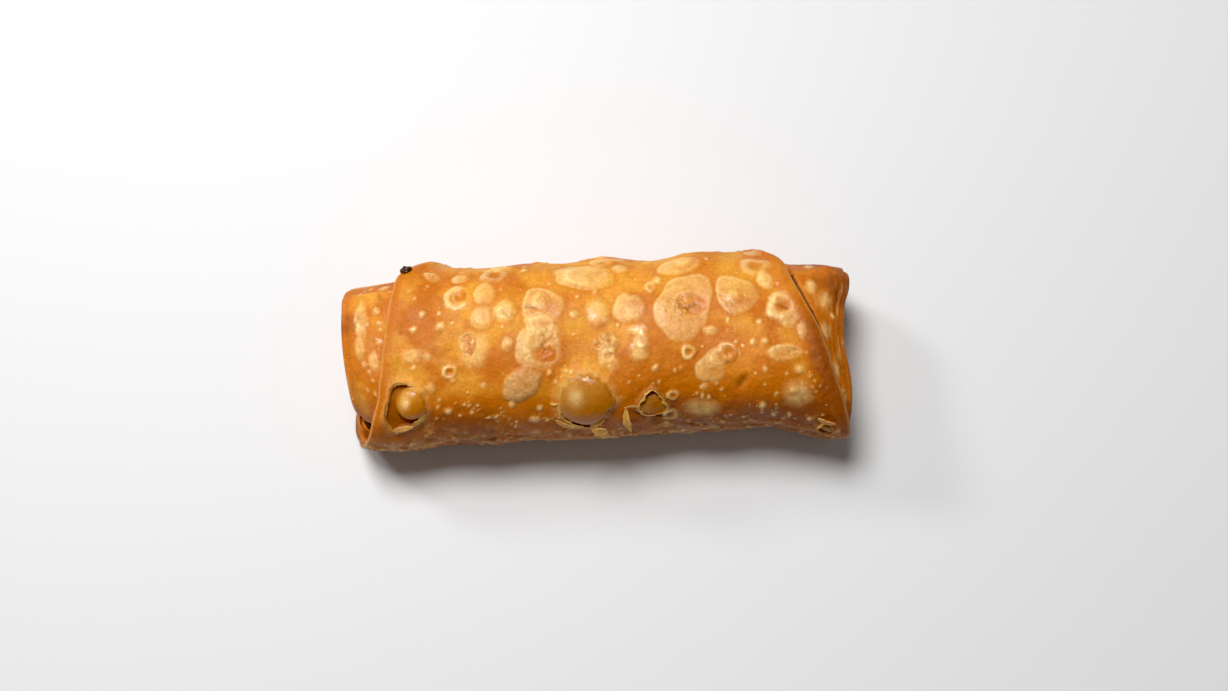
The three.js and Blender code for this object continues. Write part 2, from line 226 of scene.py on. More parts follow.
# Rows of tiny bubbles: from, to, how many.
BEADS = [
    ((-48, -17.4), (-39, -17.8), 16), ((-35, -19), (-29, -24), 16), ((-41, -20), (-33, -21.5), 12),
    ((42, -18), (54, -22.5), 22), ((-26, -19.5), (-17, -22.5), 12), ((20, -21), (34, -22), 16),
    ((-20, -9.5), (-13, -8), 8), ((33, 3), (40, -4), 7), ((55, -9), (62, -12), 9),
]

# Scattered blisters: how many, and the ranges of their x, girth and radius.
SCATTERED = {
    "top": (260, (-72, 72), (-4, 62), (0.35, 1.1)),
    "back": (130, (-66, 70), (64, 110), (0.6, 5)),
    "under": (70, (-66, 70), (-36, -6), (0.5, 2.5)),
    "inner roll": (400, (-73, 73), (-36, 112), (0.4, 2.6)),
}
SMALL_KINDS = ("dome", "flat")

# Cracks and creases: from, to, depth, half width and darkness.
CRACKS = [
    ((-26.9, 11.8), (-22.9, 11.1), 0.2, 0.32, 0.6), ((-33.5, 10.8), (-31.2, 8.4), 0.12, 0.32, 0.35),
    ((4.0, 11.3), (6.4, 11.0), 0.1, 0.3, 0.3), ((20, 10.8), (24.6, 12.4), 0.25, 0.4, 0.5),
    ((49.6, 12.2), (52, 10.8), 0.25, 0.4, 0.5), ((-21.8, 0.4), (-20.9, -2.0), 0.15, 0.3, 0.45),
    ((5.2, -19.6), (17, -21.4), 0.5, 0.5, 0.5), ((-5.0, 24.3), (-2.4, 24.6), 0.2, 0.35, 0.5),
    ((-51.6, 14.5), (-50.9, 12.6), 0.15, 0.3, 0.4),
]
END_CRACKS = [
    ((-76.3, 9.6), (-78.2, 3.8), 0.25, 0.35, 0.5), ((66.6, 19.4), (67.8, 7.6), 0.35, 0.45, 0.5),
    ((65.2, 9), (66.4, -4), 0.3, 0.4, 0.4), ((67.2, 2), (68, -10), 0.3, 0.4, 0.45),
    ((-70.4, 14.8), (-69.6, 13.2), 0.2, 0.4, 0.3),
]

# The direction of the light on the skin: blisters are painted paler towards it and darker away from it.
LIT_WAY = 2.4  # radians: the way on the skin to which a blister's brighter side faces
# How each kind rises, in mm.
FLAT_RISE = 0.3
RING_RISE = 0.4
BURST_COLLAR = 0.8
BURST_DEPTH = 0.8

# Colours, as sRGB from 0 to 255.
GOLDEN = (230, 158, 47)
ROSY = (224, 132, 48)
AMBER = (202, 112, 6)
BROWN = (152, 78, 12)
PALE = (255, 216, 140)
TAN = (206, 146, 84)
OLIVE = (196, 134, 44)
MURKY = (146, 84, 18)
DARK = (58, 26, 6)

# The filling: cooked shreds.
FILLING_BROWN = (70, 40, 20)
FILLING_LIGHT = (140, 86, 40)
FILLING_GREEN = (74, 58, 26)


def through(stations, at):
    """A smooth curve through (position, value) stations, level past its ends."""
    xs, ys = np.array(stations, float).T
    last = len(xs) - 1
    index = np.arange(last + 1)
    after, before = np.minimum(index + 1, last), np.maximum(index - 1, 0)
    slopes = (ys[after] - ys[before]) / (xs[after] - xs[before])
    at = np.clip(at, xs[0], xs[-1])
    i = np.clip(np.searchsorted(xs, at, side="right") - 1, 0, last - 1)
    width = xs[i + 1] - xs[i]
    t = (at - xs[i]) / width
    rise = (3 - 2 * t) * t * t
    bow = width * t * (1 - t) * ((1 - t) * slopes[i] - t * slopes[i + 1])
    return ys[i] + (ys[i + 1] - ys[i]) * rise + bow


def smooth(value, low, high):
    """From 0 at low to 1 at high."""
    t = np.clip((value - low) / (high - low), 0, 1)
    return t * t * (3 - 2 * t)


def mix(a, b, share):
    return a + (b - a) * share


def fall(value, low, high):
    """From 1 at low to 0 at high."""
    return 1 - smooth(value, low, high)


def ridge(distance, width):
    """A bell curve: 1 at no distance, gone within about twice the width."""
    return np.exp(-((distance / width) ** 2))


def spread(*coordinates):
    """Points from their coordinates, each an array or a single number."""
    return np.stack(np.broadcast_arrays(*coordinates), axis=-1)


def lattice(cells, seed):
    """A number from -1 to 1 for each whole-numbered cell."""
    mixed = (cells @ np.array([73856093, 19349663, 83492791]) + seed * 2654435761) & 0xFFFFFFFF
    mixed = ((mixed ^ (mixed >> 13)) * 1274126177) & 0xFFFFFFFF
    return ((mixed ^ (mixed >> 16)) & 0xFFFF) / 32767.5 - 1


def noise(points, size, seed=0):
    """Smooth noise from -1 to 1 over points in space, its features about size mm across."""
    at = np.asarray(points, float) / size
    cell = np.floor(at).astype(np.int64)
    part = at - cell
    part = part * part * (3 - 2 * part)
    total = 0
    for corner in itertools.product((0, 1), repeat=3):
        weight = np.prod(np.where(corner, part, 1 - part), axis=-1)
        total = total + weight * lattice(cell + np.array(corner), seed)
    return total


def wrap_outline(x):
    return {side: through(WRAP[side], x) for side in WRAP}


def inner_outline(x):
    outline = {side: through(WRAP[side], x) - LAYER - through(TUCK[side], x) for side in WRAP}
    outline["bottom"] = through(WRAP["bottom"], x) + through(TUCK["bottom"], x)
    return outline


def section_point(outline, angle):
    """The section's (y, z) at an angle: a rounded oval, squarer underneath."""
    c, s = np.cos(np.radians(angle)), np.sin(np.radians(angle))
    power = 2 / np.where(s > 0, TOP_POWER, FLOOR_POWER)
    across = np.where(c > 0, -outline["front"], outline["back"])
    rise = np.where(s > 0, outline["top"], outline["bottom"]) - MID_HEIGHT
    return across * np.abs(c) ** power, MID_HEIGHT + rise * np.abs(s) ** power


def skin_point(outline, angle, out):
    """The same point moved outwards, and kept above the floor."""
    y, z = section_point(outline, angle)
    y0, z0 = section_point(outline, angle - 0.5)
    y1, z1 = section_point(outline, angle + 0.5)
    size = np.hypot(y1 - y0, z1 - z0)
    return y - (z1 - z0) / size * out, np.maximum(z + (y1 - y0) / size * out, 0)


def lumps(x, angle):
    a = np.radians(angle)
    waves = sum(high * np.sin(along * x + turns * a + phase) for high, along, turns, phase in LUMPS)
    return smooth(np.sin(a), -0.9, -0.2) * waves


# Girth, in mm from the middle of the front, by angle.
GIRTH_ANGLES = np.arange(-180, 541, 1.0)
_ring = np.stack(section_point(wrap_outline(0), GIRTH_ANGLES))
_steps = np.hypot(*np.diff(_ring))
GIRTHS = np.concatenate([[0], np.cumsum(_steps)])
GIRTHS = GIRTHS - np.interp(0, GIRTH_ANGLES, GIRTHS)


def girth_at(angle):
    return np.interp(angle, GIRTH_ANGLES, GIRTHS)


def angle_at(girth):
    return np.interp(girth, GIRTHS, GIRTH_ANGLES)


TILT = math.radians(ELEVATION)
BACKWARD = np.array([0, -math.cos(TILT), math.sin(TILT)])  # from the aim point to the camera
UPWARD = np.array([0, math.sin(TILT), math.cos(TILT)])


def seen(points):
    """Where points show in the view: mm right of and above its middle."""
    offset = points - np.array(AIM)
    nearer = DISTANCE / (DISTANCE - offset @ BACKWARD)
    return offset[..., 0] * nearer, offset @ UPWARD * nearer


class Skin:
    """One of the roll's two skins, with the places on it that the view sees."""

    def __init__(self, outline):
        self.outline = outline
        x, angle = np.meshgrid(np.arange(-78, 78.1, 0.5), np.arange(-30, 200.1, 1.0), indexing="ij")
        self.x, self.girth = x, girth_at(angle)
        self.right, self.up = seen(spread(x, *skin_point(outline(x), angle, lumps(x, angle))))
        climbs = np.gradient(self.up, axis=1)
        self.hidden = np.where(climbs > 0, 0, 1e6)
        self.stretch = np.gradient(self.girth, axis=1) / np.maximum(climbs, 1e-6)

    def place(self, right, up):
        """The (x, girth) that shows there, and how much the view foreshortens it across the roll."""
        miss = np.hypot(self.right - right, self.up - up) + self.hidden
        at = np.unravel_index(np.argmin(miss), miss.shape)
        return self.x[at], self.girth[at], self.stretch[at]

    def point(self, x, girth, out):
        angle = angle_at(girth)
        return spread(x, *skin_point(self.outline(x), angle, out + lumps(x, angle)))


WRAP_SKIN = Skin(wrap_outline)
INNER_SKIN = Skin(inner_outline)
MOST_STRETCH = 2.0


@dataclass
class Blister:
    kind: str
    x: float
    girth: float
    half_x: float
    half_girth: float
    tilt: float = 0
    seed: int = 0
    rim: tuple = ()  # of a burst: directions from its middle, and the torn edge's distance in each
    bubble: tuple = ()  # of a burst: x, girth, radius, height, murkiness and shine

    @property
    def radius(self):
        return min(self.half_x, self.half_girth)

    @property
    def own(self):
        """A number from 0 to 1 that is this blister's own."""
        return 0.5 + 0.5 * math.sin(12.9 * self.x + 7.3 * self.girth)

    def where(self, x, girth):
        """How far points lie from its middle over its uneven outline, and in which direction."""
        turn = math.radians(self.tilt)
        dx, dg = x - self.x, girth - self.girth
        along = (dx * math.cos(turn) + dg * math.sin(turn)) / self.half_x
        across = (dg * math.cos(turn) - dx * math.sin(turn)) / self.half_girth
        way = np.arctan2(across, along)
        return np.hypot(along, across) / self.unevenness(way), way

    def unevenness(self, way):
        if self.rim:
            return np.ones(np.shape(way))
        size = max(self.half_x, self.half_girth)
        places = spread(np.cos(way), np.sin(way), 0) * size + 9.1 * self.seed
        return 1 + 0.2 * noise(places, 1.1 * size, 43) + 0.1 * noise(places, 0.45 * size, 44)

    def lit_side(self, way):
        """From 0 to 1: towards the side that faces the light, used for painted highlight and shade."""
        return 0.5 + 0.5 * np.cos(way - LIT_WAY - self.own)

    def places_round(self, way):
        """Places for noise that runs round a burst blister."""
        return spread(np.cos(way), np.sin(way), self.seed) * self.half_x

    def torn_edge(self, way):
        """The edge of a burst blister's shell, over its outline."""
        places = self.places_round(way)
        jagged = 0.05 * noise(places, 1.2, 41) + 0.03 * noise(places, 0.6, 42)
        return np.interp(way, *self.rim, period=2 * np.pi) + jagged


def shown_blister(skin, kind, seed, right, up, half_x, half_up=None, tilt=0):
    """A row of a table, set on the skin where the view shows it. With one radius, it's round."""
    x, girth, stretch = skin.place(right, up)
    half_girth = (half_up or half_x) * min(stretch, MOST_STRETCH)
    return Blister(kind, x, girth, half_x, half_girth, tilt, seed)


def shown_blisters(skin, table):
    rows = [(kind, row) for kind, rows in table.items() for row in rows]
    return [shown_blister(skin, kind, seed, *row) for seed, (kind, row) in enumerate(rows)]


def burst_blisters(skin, table):
    made = []
    for seed, row in enumerate(table):
        x, girth, _ = skin.place(*row["at"])
        rim = np.array([skin.place(*at)[:2] for at in row["rim"]]) - (x, girth)
        ways, reaches = np.arctan2(rim[:, 1], rim[:, 0]), np.hypot(rim[:, 0], rim[:, 1])
        order = np.argsort(ways)
        size = reaches.mean()
        right, up, radius, height = row["bubble"]
        bubble = (*skin.place(right, up)[:2], radius, height, row["murky"], row["shine"])
        edge = (ways[order], reaches[order] / size)
        made.append(Blister("burst", x, girth, size, size, 0, seed, edge, bubble))
    return made


def bead_blisters(rng, skin, table):
    made = []
    for (right_a, up_a), (right_b, up_b), count in table:
        for share in rng.random(count):
            x, girth, _ = skin.place(mix(right_a, right_b, share), mix(up_a, up_b, share))
            x, girth = x + rng.normal(0, 1.0), girth + rng.normal(0, 1.5)
            radius = 0.22 + 0.6 * rng.random() ** 2
            made.append(Blister("dome", x, girth, radius, radius, 0, len(made)))
    return made


def scattered_blisters(rng, count, x_range, girth_range, radius_range, kinds, clear_of=()):
    """Small blisters where nothing else is, more small ones than large."""
    made = []
    for _ in range(count):
        radius = radius_range[0] + (radius_range[1] - radius_range[0]) * rng.random() ** 2.5
        x, girth = rng.uniform(*x_range), rng.uniform(*girth_range)
        kind = kinds[rng.integers(len(kinds))]
        near = [b for b in (*clear_of, *made) if abs(b.x - x) < b.half_x + radius and
                abs(b.girth - girth) < b.half_girth + radius]
        if not near:
            made.append(Blister(kind, x, girth, radius * rng.uniform(0.85, 1.2), radius, 0, len(made)))
    return made


# What each point of a piece's skin has: its relief, and the tones that the dough's material reads.
BLISTER_FIELDS = ("rise", "pale", "dark", "tan", "amber", "olive", "murky", "gloss", "rough")
TONES = (*BLISTER_FIELDS[1:], "brown", "edge")


class Paint:
    """Adds relief and colours to the fields of some points."""

    def __init__(self, fields, picked=...):
        self.fields, self.picked = fields, picked

    def at(self, name):
        return self.fields[name][self.picked]

    def put(self, name, value):
        self.fields[name][self.picked] = value

    def add(self, name, value):
        self.put(name, self.at(name) + value)

    def most(self, name, value):
        self.put(name, np.maximum(self.at(name), value))

    def least(self, name, value):
        self.put(name, np.minimum(self.at(name), value))

    def fade(self, name, share):
        self.put(name, self.at(name) * share)


# Each kind of blister paints the points that it reaches: q is how far they lie from its middle over
# its outline, and way in which direction.


def paint_flat(b, paint, q, way):
    """A low plateau with a thin pale rim, and amber round it; painted highlight and shade on its sides."""
    radius, own, side = b.radius, b.own, b.lit_side(way)
    soft = min(0.5, (0.5 + 1.4 * own) / radius)  # its edge's width over its radius
    inside = fall(q, 1 - soft, 1 + 0.3 * soft)
    rim = ridge((q - 0.97) * radius, 0.35)
    ripple = smooth(own, 0.35, 0.6) * ridge((q - 0.6) * radius, 0.4) * smooth(radius, 1.5, 3)
    paint.most("plateau", FLAT_RISE * ((0.6 + 0.6 * own) * inside + 0.5 * ripple))
    # Paler towards its edge, and paler towards the light as a painted highlight, the rim and ripple too.
    paler_edge_and_lit_side = mix(0.7, 1, smooth(q, 0.1, 0.9)) * mix(0.65, 1.2, side)
    paint.most("pale", (0.45 + 0.4 * own) * inside * paler_edge_and_lit_side + 0.6 * rim * side + 0.3 * ripple * side)
    # A thin amber ring outside, deeper away from the light: painted shade.
    paint.most("amber", 0.45 * ridge((q - 1) * radius - 0.7, 0.5) * (1 - 0.6 * side))
    paint.most("gloss", 0.45 * inside)


def paint_patch(b, paint, q, way):
    """A soft pale patch."""
    paint.most("plateau", 0.2 * fall(q, 0.4, 1.15))
    paint.most("pale", 0.6 * fall(q, 0.3, 1.15))


def paint_dome(b, paint, q, way):
    """A small glossy bubble."""
    small = fall(b.radius, 0.8, 3)
    paint.add("rise", mix(0.12, 0.3, small) * b.radius * fall(q, 0.1, 1.1))
    # Paler in its middle: partly its own colour, partly a painted highlight.
    paint.most("pale", (0.7 + 0.35 * b.own) * fall(q, mix(0.3, 0.1, small), 1))
    # A thin dark ring on the side away from the light: painted shadow.
    paint.most("dark", 0.12 * ridge(q - 1.08, 0.16) * (1 - b.lit_side(way)))
    paint.most("gloss", 0.8 * fall(q, 0.7, 1))


def paint_ring(b, paint, q, way):
    """A raised pale ring round a sunken middle."""
    paint.add("rise", RING_RISE * (smooth(q, 0.2, 0.65) - smooth(q, 0.75, 1.1)))
    band = smooth(q, 0.25, 0.65) - smooth(q, 0.8, 1.08)
    # The band is paler towards the light: painted highlight.
    paint.most("pale", (0.5 + 0.35 * b.own) * band * mix(0.55, 1.35, b.lit_side(way)))
    paint.most("olive", 0.4 * fall(q, 0.15, 0.6))
    paint.most("gloss", 0.7 * band)


def paint_pool(b, paint, q, way):
    """A shallow amber hollow in a larger blister."""
    side, inside = b.lit_side(way), fall(q, 0.75, 1)
    # Inside it is less pale and deeper amber away from the light, as painted shade; the pale rim towards
    # the light is a painted highlight.
    paint.least("pale", 1 - inside * mix(0.9, 0.3, smooth(q, 0.4, 0.9) * side))
    paint.most("amber", 0.8 * inside * mix(1, 0.5, side))
    paint.add("rise", -0.25 * inside)
    paint.most("pale", 0.8 * side * ridge((q - 1) * b.radius, 0.4))
    paint.most("gloss", 0.6 * inside)


def paint_crater(b, paint, q, way):
    """A sunken, crumbled spot."""
    inside = fall(q, 0.7, 1.1)
    paint.most("rough", inside)
    paint.add("rise", -0.2 * inside)
    paint.most("tan", 0.4 * inside)


def paint_rough(b, paint, q, way):
    """A dull, swollen blister with a rough skin."""
    inside = fall(q, 0.8, 1.03)
    paint.add("rise", 0.22 * b.radius * np.sqrt(np.clip(1 - q * q, 0, 1)))
    paint.most("rough", 0.25 * inside)
    paint.most("tan", 0.8 * inside)
    # Paler towards the light: painted highlight.
    paint.most("pale", inside * (0.4 + 0.35 * b.lit_side(way)))


def paint_dent(b, paint, q, way):
    # A hollow, darkened inside as painted shade.
    paint.add("rise", -0.7 * fall(q, 0.2, 1.3))
    paint.most("dark", 0.4 * fall(q, 0.1, 1.1))


def burst_collar(torn):
    """How high the skin stands round a burst blister, by distance over its torn edge."""
    return BURST_COLLAR * fall(torn, 0.95, 1.45)


def paint_burst(b, paint, q, way):
    """A hole with a torn edge, and the bubble that shows in it."""
    torn = q / b.torn_edge(way)
    hole = fall(torn, 0.96, 1)
    bubble_x, bubble_girth, bubble_radius, height, murky, shine = b.bubble
    along = (paint.at("x") - bubble_x) / bubble_radius
    up = (paint.at("girth") - bubble_girth) / bubble_radius
    bubble = np.sqrt(np.clip(1 - along**2 - up**2, 0, 1))
    inner = -BURST_DEPTH + bubble * (BURST_DEPTH + height)
    paint.add("rise", mix(burst_collar(torn), inner, hole))
    paint.least("pale", 1 - hole)
    beside = hole * fall(bubble, 0, 0.5)
    on_bubble = hole * (1 - beside)
    # Paler towards the light and deeper amber away from it: painted highlight and shade.
    lit = smooth(np.cos(way - LIT_WAY), -0.6, 0.9)
    # A painted highlight on the bubble's upper left.
    painted_highlight = ridge(along + 0.4, 0.26) * ridge(up - 0.2, 0.34)
    paint.most("olive", on_bubble * (1 - painted_highlight * shine))
    paint.most("amber", 0.4 * hole * (1 - lit) * (1 - murky))
    paint.most("pale", on_bubble * (0.35 * lit * (1 - murky) + 1.1 * painted_highlight * shine))
    paint.most("murky", hole * murky)
    paint.most("gloss", on_bubble * shine)
    # Darker and more amber in the hollow round the bubble: painted shade.
    paint.most("dark", 0.35 * beside)
    paint.most("amber", 0.5 * beside)
    paint.most("pale", 0.2 * (smooth(torn, 0.98, 1.02) - smooth(torn, 1.05, 1.4)))


PAINTERS = {
    "flat": paint_flat, "patch": paint_patch, "dome": paint_dome, "ring": paint_ring, "pool": paint_pool,
    "crater": paint_crater, "rough": paint_rough, "dent": paint_dent, "burst": paint_burst,
}


def blister_fields(blisters, x, girth):
    """The relief and colours that blisters give to points."""
    fields = {name: np.zeros(x.shape) for name in (*BLISTER_FIELDS, "brown", "edge", "plateau")}
    fields["x"], fields["girth"] = x, girth
    for b in blisters:
        reach = 1.7 * max(b.half_x, b.half_girth)
        picked = np.nonzero((np.abs(x - b.x) < reach) & (np.abs(girth - b.girth) < reach))
        if picked[0].size:
            PAINTERS[b.kind](b, Paint(fields, picked), *b.where(x[picked], girth[picked]))
    fields["rise"] += fields["plateau"]
    return fields


def line_between(skin, start, end, paint):
    """How far points lie along a line between two places in the view and left of it, and its length."""
    (xa, ga, _), (xb, gb, _) = skin.place(*start), skin.place(*end)
    x, girth = paint.at("x") - xa, paint.at("girth") - ga
    length = math.hypot(xb - xa, gb - ga)
    along = (x * (xb - xa) + girth * (gb - ga)) / length
    across = (girth * (xb - xa) - x * (gb - ga)) / length
    return along, across, length


def add_cracks(skin, table, paint):
    """Thin cracks and creases, each a wavering line between two places in the view."""
    for start, end, depth, half_width, darkness in table:
        along, across, length = line_between(skin, start, end, paint)
        line = spread(along, start[0], 0)
        across = across + 0.35 * noise(line, 1.7, 71) + 0.15 * noise(line, 0.6, 72)
        near = smooth(along, -0.3, 0.15 * length) * fall(along, 0.85 * length, length + 0.3)
        cut = near * ridge(across, half_width)
        paint.add("rise", -depth * cut)
        # The darkness along each line is painted shade in the crack.
        paint.most("dark", darkness * cut)


def add_skin_grain(paint, points):
    """The fine unevenness of fried dough, and the crumble of craters."""
    rough = paint.at("rough")
    crumble = 0.35 * noise(points, 1.3, 3) + 0.2 * noise(points, 0.8, 4)
    paint.add("rise", 0.09 * noise(points, 2.6, 1) + 0.05 * noise(points, 1.1, 2) + rough * crumble)
    # Darker in the crumble's hollows: painted shade.
    paint.most("dark", 0.35 * rough * smooth(-crumble, 0.15, 0.45))
    paint.most("pale", 0.8 * rough * smooth(crumble, 0.05, 0.3))


def add_low_wrinkles(paint, points):
    """The leathery, crumbly band low on the roll's front."""
    girth = paint.at("girth")
    low = fall(girth, 3, 17) * smooth(girth, -26, -14)
    folds = noise(points * (0.45, 1, 1), 2.4, 5)
    paint.add("rise", low * (0.7 * folds + 0.5 * noise(points, 1.3, 6)))
    glint = smooth(noise(points, 1.3, 7) + 0.5 * noise(points, 4, 8) + 0.5 * folds, 0.25, 0.8)
    paint.most("pale", 0.8 * low * glint)
    greyer = fall(girth, 2, 15) * smooth(noise(points, 7, 10) + 0.5 * folds, -0.5, 0.5)
    corner = fall(points[..., 0], -68, -54) * fall(girth, 6, 15)
    paint.most("tan", np.maximum(0.62 * greyer, 0.8 * corner))
    paint.most("dark", 0.4 * low * smooth(noise(points, 1.6, 9), 0.45, 0.8))


def srgb(colour, alpha=1.0):
    """An sRGB colour from 0 to 255, as the linear colour that materials take."""
    parts = np.array(colour) / 255
    linear = np.where(parts <= 0.04045, parts / 12.92, ((parts + 0.055) / 1.055) ** 2.4)
    return (*[float(v) for v in linear], alpha)


def add_object(name, data):
    made = bpy.data.objects.new(name, data)
    bpy.context.scene.collection.objects.link(made)
    return made


def new_piece(name, points, faces, values, material, node):
    """A mesh piece of the roll from points in mm, riding on its body and standing for a CAD node."""
    mesh = bpy.data.meshes.new(name)
    corners = np.concatenate([part.ravel() for part in faces])
    sizes = np.concatenate([np.full(len(part), part.shape[1]) for part in faces])
    starts = np.concatenate([[0], np.cumsum(sizes)[:-1]])
    mesh.vertices.add(len(points))
    mesh.vertices.foreach_set("co", (points * MM).astype(np.float32).ravel())
    mesh.loops.add(len(corners))
    mesh.loops.foreach_set("vertex_index", corners.astype(np.int32))
    mesh.polygons.add(len(sizes))
    mesh.polygons.foreach_set("loop_start", starts.astype(np.int32))
    mesh.polygons.foreach_set("use_smooth", np.ones(len(sizes), bool))
    for key, value in values.items():
        layer = mesh.attributes.new(key, "FLOAT", "POINT")
        layer.data.foreach_set("value", value.astype(np.float32).ravel())
    mesh.update(calc_edges=True)
    mesh.validate()
    mesh.materials.append(material)
    piece = add_object(name, mesh)
    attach(piece, "root")
    if node:
        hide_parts(node)
    return piece


def grid_faces(rows, columns):
    """The quads of a grid of points that is closed round its columns."""
    r, c = np.meshgrid(np.arange(rows - 1), np.arange(columns), indexing="ij")
    after = (c + 1) % columns
    near, far = r * columns, (r + 1) * columns
    return spread(near + c, near + after, far + after, far + c).reshape(-1, 4)


def capped_faces(rows, columns):
    """The same grid closed by a fan at each end, round the two points that follow its own."""
    ring = np.arange(columns)
    after, top, first = (ring + 1) % columns, (rows - 1) * columns, rows * columns
    fans = [spread(after, ring, first), spread(top + ring, top + after, first + 1)]
    return [grid_faces(rows, columns), np.concatenate(fans)]


def zipped(a, b):
    """Triangles between two chains of points that run side by side."""
    faces, i, j = [], 0, 0
    while i < len(a) - 1 or j < len(b) - 1:
        if j == len(b) - 1 or (i < len(a) - 1 and (i + 1) * (len(b) - 1) <= (j + 1) * (len(a) - 1)):
            faces.append((a[i], a[i + 1], b[j]))
            i += 1
        else:
            faces.append((a[i], b[j + 1], b[j]))
            j += 1
    return np.array(faces)


def ribbon_faces(rows, across):
    """The faces of a ribbon: cross-sections with as many points there as back, closed at both ends."""
    near = np.arange(across)
    close = zipped(near, near[::-1] + across)
    closes = np.concatenate([close, close[:, ::-1] + (rows - 1) * 2 * across])
    return [grid_faces(rows, 2 * across), closes]


def joined(parts):
    """One list of points and one of faces, from several of each."""
    points, faces, count = [], [], 0
    for part_points, part_faces in parts:
        points.append(part_points)
        faces += [face + count for face in part_faces]
        count += len(part_points)
    return np.concatenate(points), faces


OUTER_COLUMNS = 330
LINING_COLUMNS = 24
RIM_STEPS = 7
FINE, MEDIUM, COARSE = 0.5, 0.8, 1.0  # mm from row to row


def wrap_angles():
    """The outer layer's rows: close together where it shows, wider apart underneath."""
    bands = [(WRAP_FROM, -40, MEDIUM), (-40, 200, FINE), (200, WRAP_TO, COARSE)]
    rows = []
    for low, high, step in bands:
        start, end = girth_at(low), girth_at(high)
        rows.append(np.linspace(start, end, round((end - start) / step), endpoint=False))
    rows.append([girth_at(WRAP_TO)])
    return angle_at(np.concatenate(rows))


def wrap_edges(angles):
    """Where the outer layer's two edges lie, wandering a little."""
    left, right = through(LEFT_EDGE, angles), through(RIGHT_EDGE, angles)
    wander = spread(angles, 0, 0)
    narrow = smooth(right - left, 4, 30)
    left = left + 0.35 * narrow * noise(wander, 14, 11)
    right = right + 0.3 * narrow * noise(wander, 17, 12)
    return left[:, None], right[:, None]


def wrap_brown(x, girth, from_left, from_right):
    """Where the outer layer is browner: along its edges, low on its front and in broad patches."""
    left_band = 0.4 * fall(from_left, 0.5, 4)
    right_band = 0.9 * fall(from_right, 3, 8.5) * mix(1, 0.4, smooth(girth, 40, 54))
    # Browner low on the front: partly its own colour, partly painted shade.
    low_front = 0.72 * fall(girth, 12, 32)
    under = 0.2 * fall(girth, -12, 0) + 0.45 * smooth(girth, 72, 86)
    at = spread(x, girth, 0)
    patches = 0.3 * smooth(noise(at, 17, 21) + 0.5 * noise(at, 8, 22), 0.05, 0.8)
    right_front = 0.25 * smooth(x, 0, 30) * fall(girth, 24, 46)
    bands = np.maximum.reduce([left_band, right_band, low_front])
    return np.clip(bands + right_front + under + patches, 0, 1.15)


def wrap_fields(blisters, x, angle, left, right):
    """The relief and colours of the outer layer's skin."""
    girth = np.broadcast_to(girth_at(angle), x.shape)
    from_left, from_right = x - left, right - x
    inside = np.minimum(from_left, from_right)
    paint = Paint(blister_fields(blisters, x, girth))
    add_cracks(WRAP_SKIN, CRACKS, paint)
    # Smooth bands along the edges stay free of blisters.
    for name in BLISTER_FIELDS:
        paint.fade(name, smooth(from_left, 0.5, 1.6) * smooth(from_right, 2, 4.5))
    paint.put("brown", wrap_brown(x, girth, from_left, from_right))
    base = spread(x, *skin_point(wrap_outline(x), angle, lumps(x, angle)))
    add_skin_grain(paint, base)
    add_low_wrinkles(paint, base)
    paint.fade("rise", smooth(inside, 0, 1.2))
    paint.add("rise", lumps(x, angle) + HEM["rise"] * ridge(inside - HEM["inset"], HEM["width"]))
    return paint.fields


def wrap_tones(fields, turn):
    """The colours of the outer layer's skin, right rim, lining and left rim."""
    rim = np.ones((len(fields["x"]), len(turn)))
    blank = np.zeros((len(rim), LINING_COLUMNS + 1))
    parts = {}
    for name in TONES:
        tone = fields[name]
        parts[name] = [tone, tone[:, -1:] * rim, blank, tone[:, :1] * rim]
    # Along the top of each rim a painted highlight (edge), and painted shade under it (dark).
    line, shade = ridge(turn - 0.8, 0.45), 0.6 * smooth(turn, 1.5, 2.6)
    parts["edge"][1::2] = rim * line, rim * line[::-1]
    parts["dark"][1::2] = rim * shade, rim * shade[::-1]
    parts["brown"][2] = blank + 0.4
    return {name: np.concatenate(parts[name], axis=1) for name in TONES}


def outer_layer(blisters, material):
    """The sheet of dough from its start under the roll, over the front, top and back to its tip."""
    angles = wrap_angles()
    angle = angles[:, None]
    left, right = wrap_edges(angles)
    outer_x = mix(left, right, np.linspace(0, 1, OUTER_COLUMNS + 1))
    lining_x = mix(left, right, np.linspace(1, 0, LINING_COLUMNS + 1))
    fields = wrap_fields(blisters, outer_x, angle, left, right)
    rise = fields["rise"]
    turn = np.pi * np.arange(1, RIM_STEPS) / RIM_STEPS
    bulge, drop = np.sin(turn) * SHEET / 2, (1 - np.cos(turn)) * SHEET / 2

    def placed(x, out):
        sunk = -SHEET * fall(angle, WRAP_FROM, WRAP_RISEN)
        return spread(x, *skin_point(wrap_outline(x), angle, out + sunk))

    right_rim = placed(right + bulge, rise[:, -1:] - drop)
    left_rim = placed(left - bulge[::-1], rise[:, :1] - drop[::-1])
    lining = placed(lining_x, lumps(lining_x, angle) - SHEET)
    parts = [placed(outer_x, rise), right_rim, lining, left_rim]
    rows = np.concatenate(parts, axis=1)
    count = rows.shape[1]
    starts = np.cumsum([part.shape[1] for part in parts[:3]])
    outer_of, right_of, lining_of, left_of = np.split(np.arange(count), starts)
    far, near = np.concatenate([left_of[::-1], outer_of, right_of]), lining_of[::-1]
    faces = [grid_faces(len(rows), count), zipped(near, far), zipped(far, near) + (len(rows) - 1) * count]
    tones = wrap_tones(fields, turn)
    return new_piece("outer_layer", rows.reshape(-1, 3), faces, tones, material, "wrapper")


LIP_ROUND = 260
LIP_ACROSS = 5
SHELL = 0.17  # thickness of a burst blister's broken shell


